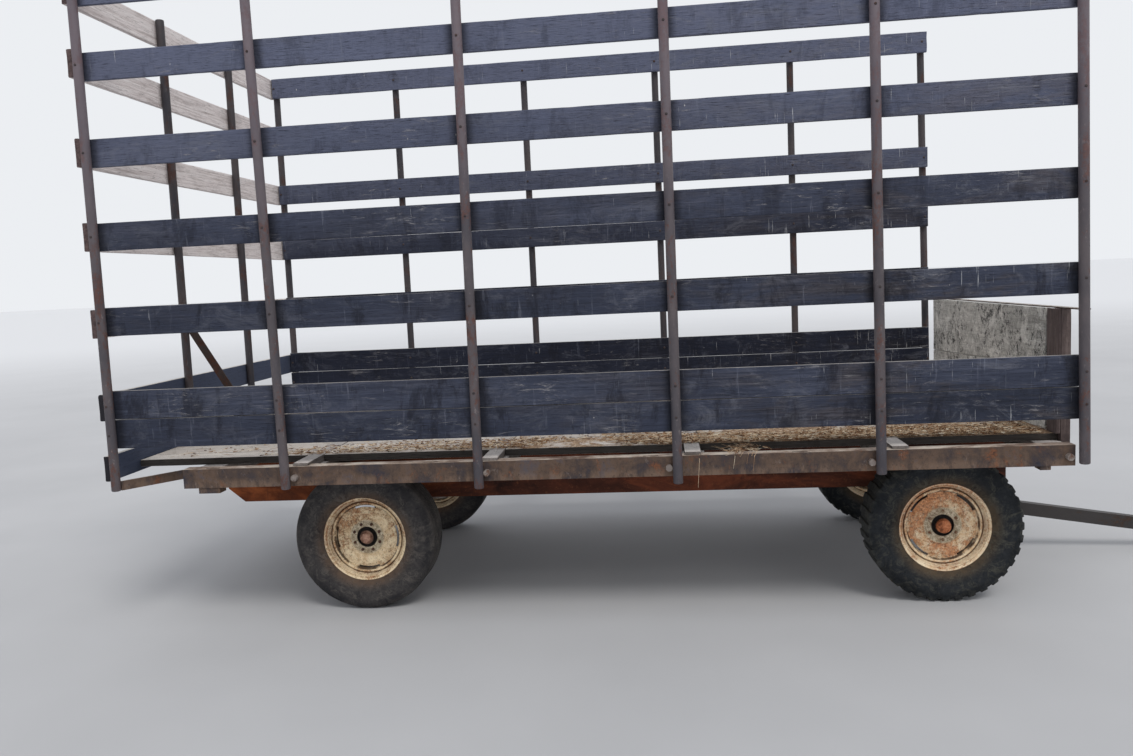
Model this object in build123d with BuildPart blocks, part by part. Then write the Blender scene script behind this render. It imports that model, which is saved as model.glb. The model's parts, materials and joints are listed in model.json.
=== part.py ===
"""Hay wagon: a slatted rack on a four-wheel running gear with a steered front axle.

Millimetres. +X points forwards along the tongue, +Z is up and the ground is z = 0.
The near side in use is -Y (right-hand side). Lengths along the wagon are measured from
the rear corner posts' feet and moved to the row frame by at(), whose origin lies on the
ground under the middle of the whole length.
"""
from build123d import *
from math import atan, atan2, cos, hypot, radians, sin
import os

SEAT = 0.3                    # gap between a round piece and the face it is fixed to
OVERRUN = 1.0                 # how far a cut runs past the face it opens

# Bed and rack
BED_WIDTH = 2438.0            # over the side boards' outer faces, 8 ft
BED_HALF = BED_WIDTH / 2
BOARD_THICK = 25.0            # side slats and base boards
REAR_BOARD_THICK = 28.0
BOARD_REAR, BOARD_FRONT = -15.0, 4850.0
# Side slats from the top down: lower edge, height
SLATS = [(3268, 142), (2900, 138), (2467, 142), (2043, 142), (1602, 148)]
# Base boards, edge to edge but for a crack of daylight: lower edge, height
BASE_BOARDS = [(1164, 150), (1008, 153)]
# Rear wall boards: lower edge, height
REAR_BOARDS = [(3268, 142), (2912, 140), (2467, 144), (2043, 145), (1595, 148), (1160, 140), (838, 134)]
REAR_BOARD_END = BED_HALF + 30

# Posts: steel pipe, outboard of the side boards
POST_RADIUS = 24.15           # 1 1/2 inch pipe
POST_ABOVE = 5.0              # above the top slat
POST_FOOT = 770.0             # height from which the rear wall's lean is measured
POST_TOP = SLATS[0][0] + SLATS[0][1] + POST_ABOVE
POST_Y = BED_HALF + POST_RADIUS + SEAT
REAR_LEAN = 30.0              # the rear wall's lean forwards at the posts' tops
# One post a row: distance of its foot and of its top from the rear corner, height of its foot
POSTS_RIGHT = [(0, REAR_LEAN, 785), (930, 922, 772), (1946, 1973, 750), (2950, 2957, 750),
               (3931, 3921, 770), (4867, 4830, 795)]
POSTS_LEFT = [(0, REAR_LEAN, 785), (954, 966, 770), (1943, 1947, 750), (2920, 2922, 750),
              (3897, 3899, 770), (4845, 4815, 795)]
REAR_POSTS_Y = (-410.0, 440.0)
REAR_POST_FOOT = 803.0

# Side rails: channel with its web outboard
RAIL_BOTTOM, RAIL_TOP = 783.0, 884.0
RAIL_FLANGE = 75.0
RAIL_WALL = 6.0
RAIL_REAR, RAIL_FRONT = 363.0, 4835.0
# Slots along the top flange, set in from the web's face
RAIL_SLOTS = [520, 1690, 2412, 2818, 3550]
SLOT_LONG, SLOT_WIDE, SLOT_INSET = 76.0, 16.0, 14.0
PIN_RADIUS, PIN_FLATS, PIN_LENGTH, PIN_Z = 16.0, 8, 26.0, 828.0
# Pins beside the post feet, each on the side towards the middle of the bed
PIN_OFFSETS = [0, 45, 42, -42, -42, -62]
# Tabs under the rail: rear end, front end, depth
RAIL_TABS = [(440, 556, 30), (4678, 4726, 20)]

# Deck
DECK_TOP = 900.0
PLANK_THICK = 38.0
DECK_BOTTOM = DECK_TOP - PLANK_THICK
DECK_REAR, DECK_FRONT = -14.0, 4855.0
DECK_HALF = 976.0
PLANKS_ACROSS = 13
PLANK_GAP = 3.0
PLANK_CLEAR = 4.0             # between a rear post and the planks cut short for it

# Cross members: timber from rail to rail, the middle ones with a rib between the planks that laps
# over the rails and stops short of their outer faces
CROSS_BOTTOM = 787.0
CROSS_WIDTH, RIB_WIDTH, RIB_SHORT = 130.0, 80.0, 15.0
RIBBED_CROSS = [1000, 2000, 3028, 4030]
PLAIN_CROSS = [430, DECK_FRONT - CROSS_WIDTH / 2]
CROSS_HALF = BED_HALF - RAIL_FLANGE

# Main sills: channel, web outboard, rear end cut back below
SILL_Y = 489.0
SILL_FLANGE = 70.0
SILL_WALL = 8.0
SILL_BOTTOM = 533.0
SILL_REAR, SILL_FRONT = 240.0, 4782.0
SILL_CUT_LONG, SILL_CUT_HIGH = 100.0, 84.0

# Rear corner braces and the flat bar that props a rear post
BRACE_THICK, BRACE_LOW, BRACE_HIGH = 10.0, 785.0, 835.0
BRACE_END_Y = 790.0
PROP_WIDE, PROP_THICK = 46.0, 8.0
PROP_HEAD_Z, PROP_FOOT_X = 1575.0, 424.0

# Front bulkhead: two boards whose seam climbs from the left side to the right
BULKHEAD_REAR = 4830.0
BULKHEAD_HALF = 1010.0
BULKHEAD_FOOT, BULKHEAD_TOP = 900.0, 1524.0
SEAM_RIGHT, SEAM_LEFT, SEAM_GAP = 1231.0, 1160.0, 3.0
UPRIGHT_THICK, UPRIGHT_WIDE, UPRIGHT_FOOT = 45.0, 90.0, 790.0
CAP_WIDE, CAP_THICK, CAP_INSET = 40.0, 6.0, 2.0

# Running gear
WHEEL_RADIUS = 400.0
AXLE_Z = WHEEL_RADIUS
REAR_AXLE_X, FRONT_AXLE_X = 1209.0, 4332.0
WHEEL_Y = 799.0               # tyre's middle plane
AXLE_SIDE = 80.0
REAR_BEAM_END = 620.0
SPINDLE_RADIUS = 22.0
SHOULDER_RADIUS, SHOULDER_Y = 30.0, 728.0
SPINDLE_END = WHEEL_Y + 62.0
BOLSTER_LONG, BOLSTER_HALF = 110.0, 520.0
# Reach pole and hounds run from bolster to bolster, above the axles
REACH_RADIUS, REACH_Z = 38.0, 487.0
HOUND_WIDE, HOUND_THICK = 40.0, 20.0
HOUND_BOLSTER_Y, HOUND_REACH_X = 250.0, 1980.0

# Steering
KINGPIN_Y = 599.0
KINGPIN_RADIUS, PIN_CLEAR = 15.0, 0.5
HINGE_PIN_PROUD = 8.0
BOSS_RADIUS, BOSS_HALF = 32.0, 48.0
YOKE_GAP, YOKE_PLATE, YOKE_HALF = 2.0, 16.0, 35.0
YOKE_WEB = (640.0, 660.0)
YOKE_INNER_Y = 572.0
LINK_ARM_X, LINK_ARM_Y = 160.0, 50.0
EYE_RADIUS, EYE_FLATS, EYE_HIGH = 20.0, 12, 24.0
LINK_PIN_RADIUS = 8.0
ROD_RADIUS = 11.0
SWIVEL_RADIUS, SWIVEL_HALF, SWIVEL_SHORT = 20.0, 60.0, 4.0
LINK_PLATE_TOP = AXLE_Z - BOSS_HALF - YOKE_GAP
LINK_PLATE_LOW = LINK_PLATE_TOP - YOKE_PLATE
EYE_LOW = LINK_PLATE_TOP + YOKE_GAP

# Tongue, resting on the ground at its tip
TONGUE_HINGE_X, TONGUE_HINGE_Z = 4590.0, 335.0
TONGUE_SLOPE = 9.1            # degrees down towards the tip
TONGUE_HIGH, TONGUE_WIDE = 75.0, 60.0
TONGUE_PIN_RADIUS = 10.0
EAR_THICK, EAR_GAP, EAR_ROOT = 12.0, 2.0, 34.0
EAR_HALF_HIGH = 30.0
HINGE_CLEAR = 6.0
TONGUE_REACH = (TONGUE_HINGE_Z - TONGUE_HIGH / 2 * cos(radians(TONGUE_SLOPE))) / sin(radians(TONGUE_SLOPE))
HITCH_LONG, HITCH_BLOCK = 150.0, 40.0
HITCH_PLATE = 16.0
HITCH_PIN_RADIUS = 13.0

# Wheels and pins: rounds drawn with flats
RIM_FLATS, DISC_FLATS, ROUND_FLATS = 28, 20, 16
TYRE_BORE = 236.0
BEAD_WIDE, BEAD_HIGH = 20.0, 26.0
# Half width, tread radius, the shoulder's bevel across and up, flats round the tread, lugs;
# each lug stands on a flat of its own
REAR_TYRE = (118, WHEEL_RADIUS, 26, 24, 48, 0)
FRONT_TYRE = (119, 388, 17, 26, 36, 36)
LUG_HALF, LUG_FOOT, LUG_FLANK = 102.0, 50.0, 78.0

# Rims: flange, barrel and well, closed between them and the bead
RIM_HALF, BARREL_RADIUS = 97.0, 212.0
WELL_HALF, WELL_RADIUS = 56.0, 182.0
DISC_BACK, DISC_THICK = 39.0, 6.0
DISC_HOLE, DISC_BOSS = 54.0, 100.0
HAND_HOLES, HAND_HOLE_WIDE, HAND_HOLE_DEEP = 4, 124.0, 18.0
HUB_RADIUS, HUB_FLANGE, HUB_INNER = 40.0, 76.0, -60.0
HUB_FLANGE_THICK = 12.0
HUB_BORE_CLEAR = 0.8
FRONT_CAP, REAR_CAP = 37.0, 31.0
CAP_OUTER, CAP_BEVEL = 92.0, 8.0

LEAN_ANGLE = atan(REAR_LEAN / (POST_TOP - POST_FOOT))


def lean(height):
    """How far forwards the rear wall stands at a height."""
    return REAR_LEAN * (height - POST_FOOT) / (POST_TOP - POST_FOOT)


REAR_FACE_X = lean(REAR_BOARDS[-1][0]) - (POST_RADIUS + SEAT + REAR_BOARD_THICK) / cos(LEAN_ANGLE)
TIP_X = (TONGUE_HINGE_X + TONGUE_REACH * cos(radians(TONGUE_SLOPE))
         + TONGUE_HIGH / 2 * sin(radians(TONGUE_SLOPE)))
ORIGIN_X = (REAR_FACE_X + TIP_X) / 2
SIDES = {"right": -1, "left": 1}


def at(distance):
    """Row-frame x of a place measured forwards from the rear corner posts' feet."""
    return distance - ORIGIN_X


def save(builder, label):
    """Labels a finished sub-part and writes it as one STEP."""
    builder.part.label = label
    export_step(builder.part, f"parts/{label}.step")


def block(x0, x1, y0, y1, z0, z1, mode=Mode.ADD):
    """An upright box between two corners; x is measured from the rear corner posts' feet."""
    with Locations((at((x0 + x1) / 2), (y0 + y1) / 2, (z0 + z1) / 2)):
        Box(abs(x1 - x0), abs(y1 - y0), abs(z1 - z0), mode=mode)


def flats(radius, count, mode=Mode.ADD):
    """A round drawn with flats that lie at its radius, one of them at the bottom."""
    RegularPolygon(radius, count, major_radius=False, rotation=180 / count, mode=mode)


def channel_profile(web_y, side, flange, wall, low, high):
    """Corners of a channel whose web's outer face stands at web_y and whose flanges point inboard."""
    inner, tip = web_y - side * wall, web_y - side * flange
    return [(web_y, low), (tip, low), (tip, low + wall), (inner, low + wall),
            (inner, high - wall), (tip, high - wall), (tip, high), (web_y, high)]


def build_side_rail(side):
    web_y = side * BED_HALF
    with BuildPart() as rail:
        with BuildSketch(Plane.YZ.offset(at(RAIL_REAR))):
            with BuildLine():
                Polyline(*channel_profile(web_y, side, RAIL_FLANGE, RAIL_WALL, RAIL_BOTTOM, RAIL_TOP),
                         close=True)
            make_face()
        extrude(amount=RAIL_FRONT - RAIL_REAR)
        outer, inner = web_y - side * SLOT_INSET, web_y - side * (SLOT_INSET + SLOT_WIDE)
        for slot in RAIL_SLOTS:
            block(slot - SLOT_LONG / 2, slot + SLOT_LONG / 2, outer, inner,
                  RAIL_TOP - RAIL_WALL - OVERRUN, RAIL_TOP + OVERRUN, mode=Mode.SUBTRACT)
    return rail


def build_main_sill(side):
    web_y = side * SILL_Y
    with BuildPart() as sill:
        with BuildSketch(Plane.YZ.offset(at(SILL_REAR))):
            with BuildLine():
                Polyline(*channel_profile(web_y, side, SILL_FLANGE, SILL_WALL, SILL_BOTTOM, CROSS_BOTTOM),
                         close=True)
            make_face()
        extrude(amount=SILL_FRONT - SILL_REAR)
        with BuildSketch(Plane.XZ):
            with BuildLine():
                Polyline((at(SILL_REAR) - OVERRUN, SILL_BOTTOM + SILL_CUT_HIGH),
                         (at(SILL_REAR + SILL_CUT_LONG), SILL_BOTTOM - OVERRUN),
                         (at(SILL_REAR) - OVERRUN, SILL_BOTTOM - OVERRUN), close=True)
            make_face()
        extrude(amount=BED_HALF, both=True, mode=Mode.SUBTRACT)
    return sill


def build_cross_members():
    half, rib = CROSS_WIDTH / 2, RIB_WIDTH / 2
    with BuildPart() as members:
        for x in RIBBED_CROSS + PLAIN_CROSS:
            block(x - half, x + half, -CROSS_HALF, CROSS_HALF, CROSS_BOTTOM, DECK_BOTTOM)
        for x in RIBBED_CROSS:
            block(x - rib, x + rib, -CROSS_HALF, CROSS_HALF, DECK_BOTTOM, RAIL_TOP)
            block(x - rib, x + rib, RIB_SHORT - BED_HALF, BED_HALF - RIB_SHORT, RAIL_TOP, DECK_TOP)
    return members


def build_deck_planks():
    """Planks between the ribs, cut short where they meet a rear post."""
    pitch = 2 * DECK_HALF / PLANKS_ACROSS
    keep_off = POST_RADIUS + PLANK_CLEAR
    edges = [DECK_REAR]
    for x in RIBBED_CROSS:
        edges += [x - RIB_WIDTH / 2, x + RIB_WIDTH / 2]
    edges.append(DECK_FRONT)
    with BuildPart() as planks:
        for bay_rear, bay_front in zip(edges[::2], edges[1::2]):
            for row in range(PLANKS_ACROSS):
                low = -DECK_HALF + row * pitch + PLANK_GAP / 2
                high = low + pitch - PLANK_GAP
                rear = bay_rear
                if bay_rear == DECK_REAR and any(low - keep_off < y < high + keep_off for y in REAR_POSTS_Y):
                    rear = lean(DECK_TOP) + keep_off
                block(rear, bay_front, low, high, DECK_BOTTOM, DECK_TOP)
    return planks


def build_pipes(runs):
    """Posts that each run from one point to another; their ends are square to the run."""
    with BuildPart() as posts:
        for foot, top in runs:
            with BuildSketch(Plane(origin=foot, x_dir=(0, 1, 0), z_dir=top - foot)):
                Circle(POST_RADIUS)
            extrude(amount=(top - foot).length)
    return posts


def build_posts(side, table):
    return build_pipes([(Vector(at(foot_x), side * POST_Y, foot_z), Vector(at(top_x), side * POST_Y, POST_TOP))
                        for foot_x, top_x, foot_z in table])


def build_rear_posts():
    return build_pipes([(Vector(at(lean(REAR_POST_FOOT)), y, REAR_POST_FOOT), Vector(at(REAR_LEAN), y, POST_TOP))
                        for y in REAR_POSTS_Y])


def build_side_boards(side, table):
    """Boards whose rear ends follow the leaning rear wall."""
    inner, outer = sorted((side * (BED_HALF - BOARD_THICK), side * BED_HALF))
    with BuildPart() as boards:
        for low, height in table:
            block(BOARD_REAR + lean(low + height), BOARD_FRONT, inner, outer, low, low + height)
    return boards


def build_rear_boards():
    """Boards on the posts' rear side, in the plane of the leaning wall."""
    wall = Plane(origin=(at(0), 0, POST_FOOT), x_dir=(0, -1, 0),
                 z_dir=(-cos(LEAN_ANGLE), 0, sin(LEAN_ANGLE)))
    with BuildPart() as boards:
        with BuildSketch(wall.offset(POST_RADIUS + SEAT)):
            for low, height in REAR_BOARDS:
                with Locations((0, (low + height / 2 - POST_FOOT) / cos(LEAN_ANGLE))):
                    Rectangle(2 * REAR_BOARD_END, height)
        extrude(amount=REAR_BOARD_THICK)
    return boards


def build_rear_prop():
    """Flat bar from a rear post down to the deck."""
    head_x = lean(PROP_HEAD_Z) + (POST_RADIUS + SEAT) / cos(LEAN_ANGLE)
    slope = (PROP_HEAD_Z - DECK_TOP) / (PROP_FOOT_X - head_x)
    stretch = hypot(1, slope)
    head_high = PROP_WIDE * stretch
    with BuildPart() as prop:
        with BuildSketch(Plane.XZ.offset(-REAR_POSTS_Y[0])):
            with BuildLine():
                Polyline((at(head_x), PROP_HEAD_Z), (at(PROP_FOOT_X), DECK_TOP),
                         (at(PROP_FOOT_X + PROP_WIDE * stretch / slope), DECK_TOP),
                         (at(head_x + lean(POST_FOOT + head_high)), PROP_HEAD_Z + head_high), close=True)
            make_face()
        extrude(amount=PROP_THICK / 2, both=True)
    return prop


def build_corner_braces():
    """Flat bars on edge from the rear corner posts' feet to the first cross member."""
    end_x = PLAIN_CROSS[0] - CROSS_WIDTH / 2
    heading = atan2(POST_Y - BRACE_END_Y, end_x)
    start_x = (POST_RADIUS + SEAT) * cos(heading) + lean(BRACE_HIGH)
    start_y = POST_Y - (POST_RADIUS + SEAT) * sin(heading)
    across = (BRACE_THICK * sin(heading), BRACE_THICK * cos(heading))
    with BuildPart() as braces:
        for side in SIDES.values():
            with BuildSketch(Plane.XY.offset(BRACE_LOW)):
                with BuildLine():
                    Polyline((at(start_x), side * start_y), (at(end_x), side * BRACE_END_Y),
                             (at(end_x), side * (BRACE_END_Y + BRACE_THICK / cos(heading))),
                             (at(start_x) + across[0], side * (start_y + across[1])), close=True)
                make_face()
            extrude(amount=BRACE_HIGH - BRACE_LOW)
    return braces


def build_bulkhead_boards():
    """Two boards that meet along a seam that isn't level."""
    with BuildPart() as boards:
        for right_low, left_low, right_high, left_high in (
                (BULKHEAD_FOOT, BULKHEAD_FOOT, SEAM_RIGHT, SEAM_LEFT),
                (SEAM_RIGHT + SEAM_GAP, SEAM_LEFT + SEAM_GAP, BULKHEAD_TOP, BULKHEAD_TOP)):
            with BuildSketch(Plane.YZ.offset(at(BULKHEAD_REAR))):
                with BuildLine():
                    Polyline((-BULKHEAD_HALF, right_low), (BULKHEAD_HALF, left_low),
                             (BULKHEAD_HALF, left_high), (-BULKHEAD_HALF, right_high), close=True)
                make_face()
            extrude(amount=DECK_FRONT - BULKHEAD_REAR)
    return boards


def build_bulkhead_uprights():
    with BuildPart() as uprights:
        for side in SIDES.values():
            inner, outer = sorted((side * (BULKHEAD_HALF - UPRIGHT_WIDE), side * BULKHEAD_HALF))
            block(DECK_FRONT, DECK_FRONT + UPRIGHT_THICK, inner, outer, UPRIGHT_FOOT, BULKHEAD_TOP)
    return uprights


def build_bulkhead_cap():
    with BuildPart() as cap:
        block(DECK_FRONT + CAP_INSET, DECK_FRONT + CAP_INSET + CAP_WIDE, -BED_HALF, BED_HALF,
              BULKHEAD_TOP, BULKHEAD_TOP + CAP_THICK)
    return cap


def build_rail_pins():
    with BuildPart() as pins:
        for side, table in ((SIDES["right"], POSTS_RIGHT), (SIDES["left"], POSTS_LEFT)):
            for (foot_x, _, _), offset in list(zip(table, PIN_OFFSETS))[1:]:
                with BuildSketch(Plane.XZ.offset(-side * BED_HALF)):
                    with Locations((at(foot_x + offset), PIN_Z)):
                        flats(PIN_RADIUS, PIN_FLATS)
                extrude(amount=-side * PIN_LENGTH)
    return pins


def build_rail_tabs():
    with BuildPart() as tabs:
        for side in SIDES.values():
            inner, outer = sorted((side * (BED_HALF - RAIL_FLANGE), side * (BED_HALF - RAIL_WALL)))
            for rear, front, depth in RAIL_TABS:
                block(rear, front, inner, outer, RAIL_BOTTOM - depth, RAIL_BOTTOM)
    return tabs


def build_bolster(axle_x):
    with BuildPart() as bolster:
        block(axle_x - BOLSTER_LONG / 2, axle_x + BOLSTER_LONG / 2, -BOLSTER_HALF, BOLSTER_HALF,
              AXLE_Z + AXLE_SIDE / 2, SILL_BOTTOM)
    return bolster


def build_rear_axle():
    with BuildPart() as axle:
        block(REAR_AXLE_X - AXLE_SIDE / 2, REAR_AXLE_X + AXLE_SIDE / 2, -REAR_BEAM_END, REAR_BEAM_END,
              AXLE_Z - AXLE_SIDE / 2, AXLE_Z + AXLE_SIDE / 2)
        with BuildSketch(Plane.XZ):
            with Locations((at(REAR_AXLE_X), AXLE_Z)):
                flats(SHOULDER_RADIUS, ROUND_FLATS)
        extrude(amount=SHOULDER_Y, both=True)
        with BuildSketch(Plane.XZ):
            with Locations((at(REAR_AXLE_X), AXLE_Z)):
                flats(SPINDLE_RADIUS, ROUND_FLATS)
        extrude(amount=SPINDLE_END, both=True)
    return axle


def build_front_axle():
    """Beam with a kingpin boss at each end and the tongue swivel's hole in the middle."""
    bosses = [(at(FRONT_AXLE_X), side * KINGPIN_Y) for side in SIDES.values()]
    with BuildPart() as axle:
        block(FRONT_AXLE_X - AXLE_SIDE / 2, FRONT_AXLE_X + AXLE_SIDE / 2, -YOKE_INNER_Y, YOKE_INNER_Y,
              AXLE_Z - AXLE_SIDE / 2, AXLE_Z + AXLE_SIDE / 2)
        with BuildSketch(Plane.XY.offset(AXLE_Z - BOSS_HALF)):
            with Locations(*bosses):
                flats(BOSS_RADIUS, ROUND_FLATS)
        extrude(amount=2 * BOSS_HALF)
        with BuildSketch(Plane.XY.offset(AXLE_Z - BOSS_HALF - OVERRUN)):
            with Locations(*bosses):
                flats(KINGPIN_RADIUS + PIN_CLEAR, ROUND_FLATS)
            with Locations((at(FRONT_AXLE_X), 0)):
                flats(SWIVEL_RADIUS + PIN_CLEAR, ROUND_FLATS)
        extrude(amount=2 * (BOSS_HALF + OVERRUN), mode=Mode.SUBTRACT)
    return axle


def build_reach_pole():
    with BuildPart() as pole:
        with BuildSketch(Plane.YZ.offset(at(REAR_AXLE_X + BOLSTER_LONG / 2))):
            with Locations((0, REACH_Z)):
                flats(REACH_RADIUS, ROUND_FLATS)
        extrude(amount=FRONT_AXLE_X - REAR_AXLE_X - BOLSTER_LONG)
    return pole


def build_rear_hounds():
    """Flat struts from the rear bolster forwards and inwards to the reach pole."""
    start = REAR_AXLE_X + BOLSTER_LONG / 2
    with BuildPart() as hounds:
        for side in SIDES.values():
            with BuildSketch(Plane.XY.offset(REACH_Z - HOUND_THICK / 2)):
                with BuildLine():
                    Polyline((at(start), side * HOUND_BOLSTER_Y),
                             (at(start), side * (HOUND_BOLSTER_Y + HOUND_WIDE)),
                             (at(HOUND_REACH_X + HOUND_WIDE * 2), side * (REACH_RADIUS + SEAT)),
                             (at(HOUND_REACH_X), side * (REACH_RADIUS + SEAT)), close=True)
                make_face()
            extrude(amount=HOUND_THICK)
    return hounds


def build_knuckle(side):
    """Yoke round the kingpin boss with its kingpin, wheel spindle and steering arm."""
    pin_x, pin_y = FRONT_AXLE_X + LINK_ARM_X, side * (KINGPIN_Y + LINK_ARM_Y)
    top = AXLE_Z + BOSS_HALF + YOKE_GAP
    inner, outer = sorted((side * YOKE_INNER_Y, side * YOKE_WEB[1]))
    with BuildPart() as knuckle:
        for low in (LINK_PLATE_LOW, top):
            block(FRONT_AXLE_X - YOKE_HALF, FRONT_AXLE_X + YOKE_HALF, inner, outer, low, low + YOKE_PLATE)
        block(FRONT_AXLE_X - YOKE_HALF, FRONT_AXLE_X + YOKE_HALF, *sorted([side * y for y in YOKE_WEB]),
              LINK_PLATE_LOW, top + YOKE_PLATE)
        with BuildSketch(Plane.XY.offset(LINK_PLATE_LOW)):
            with Locations((at(FRONT_AXLE_X), side * KINGPIN_Y)):
                flats(KINGPIN_RADIUS, ROUND_FLATS)
        extrude(amount=top - LINK_PLATE_LOW)
        with BuildSketch(Plane.XZ.offset(-side * YOKE_WEB[1])):
            with Locations((at(FRONT_AXLE_X), AXLE_Z)):
                flats(SHOULDER_RADIUS, ROUND_FLATS)
        extrude(amount=-side * (SHOULDER_Y - YOKE_WEB[1]))
        with BuildSketch(Plane.XZ.offset(-side * YOKE_WEB[1])):
            with Locations((at(FRONT_AXLE_X), AXLE_Z)):
                flats(SPINDLE_RADIUS, ROUND_FLATS)
        extrude(amount=-side * (SPINDLE_END - YOKE_WEB[1]))
        with BuildSketch(Plane.XY.offset(LINK_PLATE_LOW)):
            with BuildLine():
                Polyline((at(FRONT_AXLE_X), side * (KINGPIN_Y - BOSS_RADIUS / 2)),
                         (at(pin_x), pin_y - side * EYE_RADIUS), (at(pin_x), pin_y + side * EYE_RADIUS),
                         (at(FRONT_AXLE_X), side * YOKE_WEB[1]), close=True)
            make_face()
            with Locations((at(pin_x), pin_y)):
                flats(EYE_RADIUS, EYE_FLATS)
        extrude(amount=YOKE_PLATE)
        with BuildSketch(Plane.XY.offset(LINK_PLATE_LOW)):
            with Locations((at(pin_x), pin_y)):
                flats(LINK_PIN_RADIUS, EYE_FLATS)
        extrude(amount=EYE_LOW + EYE_HIGH - LINK_PLATE_LOW)
    return knuckle


def build_tie_rod(side):
    """Rod with an eye at each end, level with the steering arms' pins."""
    rod_x = at(FRONT_AXLE_X + LINK_ARM_X)
    ends = [(rod_x, side * LINK_ARM_Y), (rod_x, side * (KINGPIN_Y + LINK_ARM_Y))]
    with BuildPart() as rod:
        with BuildSketch(Plane.XZ.offset(-side * LINK_ARM_Y)):
            with Locations((rod_x, EYE_LOW + EYE_HIGH / 2)):
                flats(ROD_RADIUS, EYE_FLATS)
        extrude(amount=-side * KINGPIN_Y)
        with BuildSketch(Plane.XY.offset(EYE_LOW)):
            with Locations(*ends):
                flats(EYE_RADIUS, EYE_FLATS)
        extrude(amount=EYE_HIGH)
        with BuildSketch(Plane.XY.offset(EYE_LOW - OVERRUN)):
            with Locations(*ends):
                flats(LINK_PIN_RADIUS + PIN_CLEAR, EYE_FLATS)
        extrude(amount=EYE_HIGH + 2 * OVERRUN, mode=Mode.SUBTRACT)
    return rod


def build_tongue_swivel():
    """Plate that swings under the front axle, with the tie rod pins and the tongue's ears."""
    ear_inner = TONGUE_WIDE / 2 + EAR_GAP
    ear_outer = ear_inner + EAR_THICK
    arm_x = FRONT_AXLE_X + LINK_ARM_X
    plate_end = TONGUE_HINGE_X - TONGUE_HIGH / 2 - HINGE_CLEAR
    with BuildPart() as swivel:
        with BuildSketch(Plane.XY.offset(LINK_PLATE_LOW)):
            with BuildLine():
                Polyline((at(FRONT_AXLE_X - SWIVEL_HALF), 0), (at(FRONT_AXLE_X - SWIVEL_HALF), -SWIVEL_HALF / 2),
                         (at(FRONT_AXLE_X - SWIVEL_HALF / 2), -SWIVEL_HALF),
                         (at(arm_x), -LINK_ARM_Y - EYE_RADIUS), (at(plate_end), -ear_outer), (at(plate_end), 0))
                mirror(about=Plane.XZ)
            make_face()
        extrude(amount=YOKE_PLATE)
        with BuildSketch(Plane.XY.offset(LINK_PLATE_LOW)):
            with Locations((at(FRONT_AXLE_X), 0)):
                flats(SWIVEL_RADIUS, ROUND_FLATS)
        extrude(amount=AXLE_Z + AXLE_SIDE / 2 - SWIVEL_SHORT - LINK_PLATE_LOW)
        with BuildSketch(Plane.XY.offset(LINK_PLATE_LOW)):
            with Locations((at(arm_x), -LINK_ARM_Y), (at(arm_x), LINK_ARM_Y)):
                flats(LINK_PIN_RADIUS, EYE_FLATS)
        extrude(amount=EYE_LOW + EYE_HIGH - LINK_PLATE_LOW)
        for side in SIDES.values():
            block(plate_end - EAR_ROOT, TONGUE_HINGE_X, *sorted((side * ear_inner, side * ear_outer)),
                  TONGUE_HINGE_Z - EAR_HALF_HIGH, TONGUE_HINGE_Z + EAR_HALF_HIGH)
            with BuildSketch(Plane.XZ.offset(-side * ear_inner)):
                with Locations((at(TONGUE_HINGE_X), TONGUE_HINGE_Z)):
                    flats(EAR_HALF_HIGH, ROUND_FLATS)
            extrude(amount=-side * EAR_THICK)
        with BuildSketch(Plane.XZ):
            with Locations((at(TONGUE_HINGE_X), TONGUE_HINGE_Z)):
                flats(TONGUE_PIN_RADIUS, EYE_FLATS)
        extrude(amount=ear_outer + HINGE_PIN_PROUD, both=True)
    return swivel


def build_tongue():
    half = TONGUE_HIGH / 2
    slope = radians(TONGUE_SLOPE)
    along = Plane(origin=(at(TONGUE_HINGE_X), 0, TONGUE_HINGE_Z),
                  x_dir=(cos(slope), 0, -sin(slope)), z_dir=(0, -1, 0))
    with BuildPart() as tongue:
        with BuildSketch(along):
            flats(half, ROUND_FLATS)
            with Locations(((TONGUE_REACH - HITCH_LONG) / 2, 0)):
                Rectangle(TONGUE_REACH - HITCH_LONG, TONGUE_HIGH)
            flats(TONGUE_PIN_RADIUS + PIN_CLEAR, EYE_FLATS, mode=Mode.SUBTRACT)
        extrude(amount=TONGUE_WIDE / 2, both=True)
    return tongue


def build_hitch():
    """Two eared plates joined by a block at the tongue's end, drilled for the hitch pin."""
    half = TONGUE_HIGH / 2
    slope = radians(TONGUE_SLOPE)
    start = TONGUE_REACH - HITCH_LONG
    eye = TONGUE_REACH - TONGUE_WIDE / 2
    flat = Plane(origin=(at(TONGUE_HINGE_X), 0, TONGUE_HINGE_Z),
                 x_dir=(cos(slope), 0, -sin(slope)), z_dir=(sin(slope), 0, cos(slope)))
    with BuildPart() as hitch:
        for low, high in ((-half, HITCH_PLATE - half), (half - HITCH_PLATE, half)):
            with BuildSketch(flat.offset(low)):
                with Locations(((start + eye) / 2, 0)):
                    Rectangle(eye - start, TONGUE_WIDE)
                with Locations((eye, 0)):
                    flats(TONGUE_WIDE / 2, ROUND_FLATS)
                    Circle(HITCH_PIN_RADIUS, mode=Mode.SUBTRACT)
            extrude(amount=high - low)
        with BuildSketch(flat.offset(-half)):
            with Locations((start + HITCH_BLOCK / 2, 0)):
                Rectangle(HITCH_BLOCK, TONGUE_WIDE)
        extrude(amount=TONGUE_HIGH)
    return hitch


def wheel_plane(axle_x, side):
    """Plane of a wheel's middle, facing outboard."""
    return Plane(origin=(at(axle_x), side * WHEEL_Y, AXLE_Z), x_dir=(1, 0, 0), z_dir=(0, side, 0))


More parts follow.
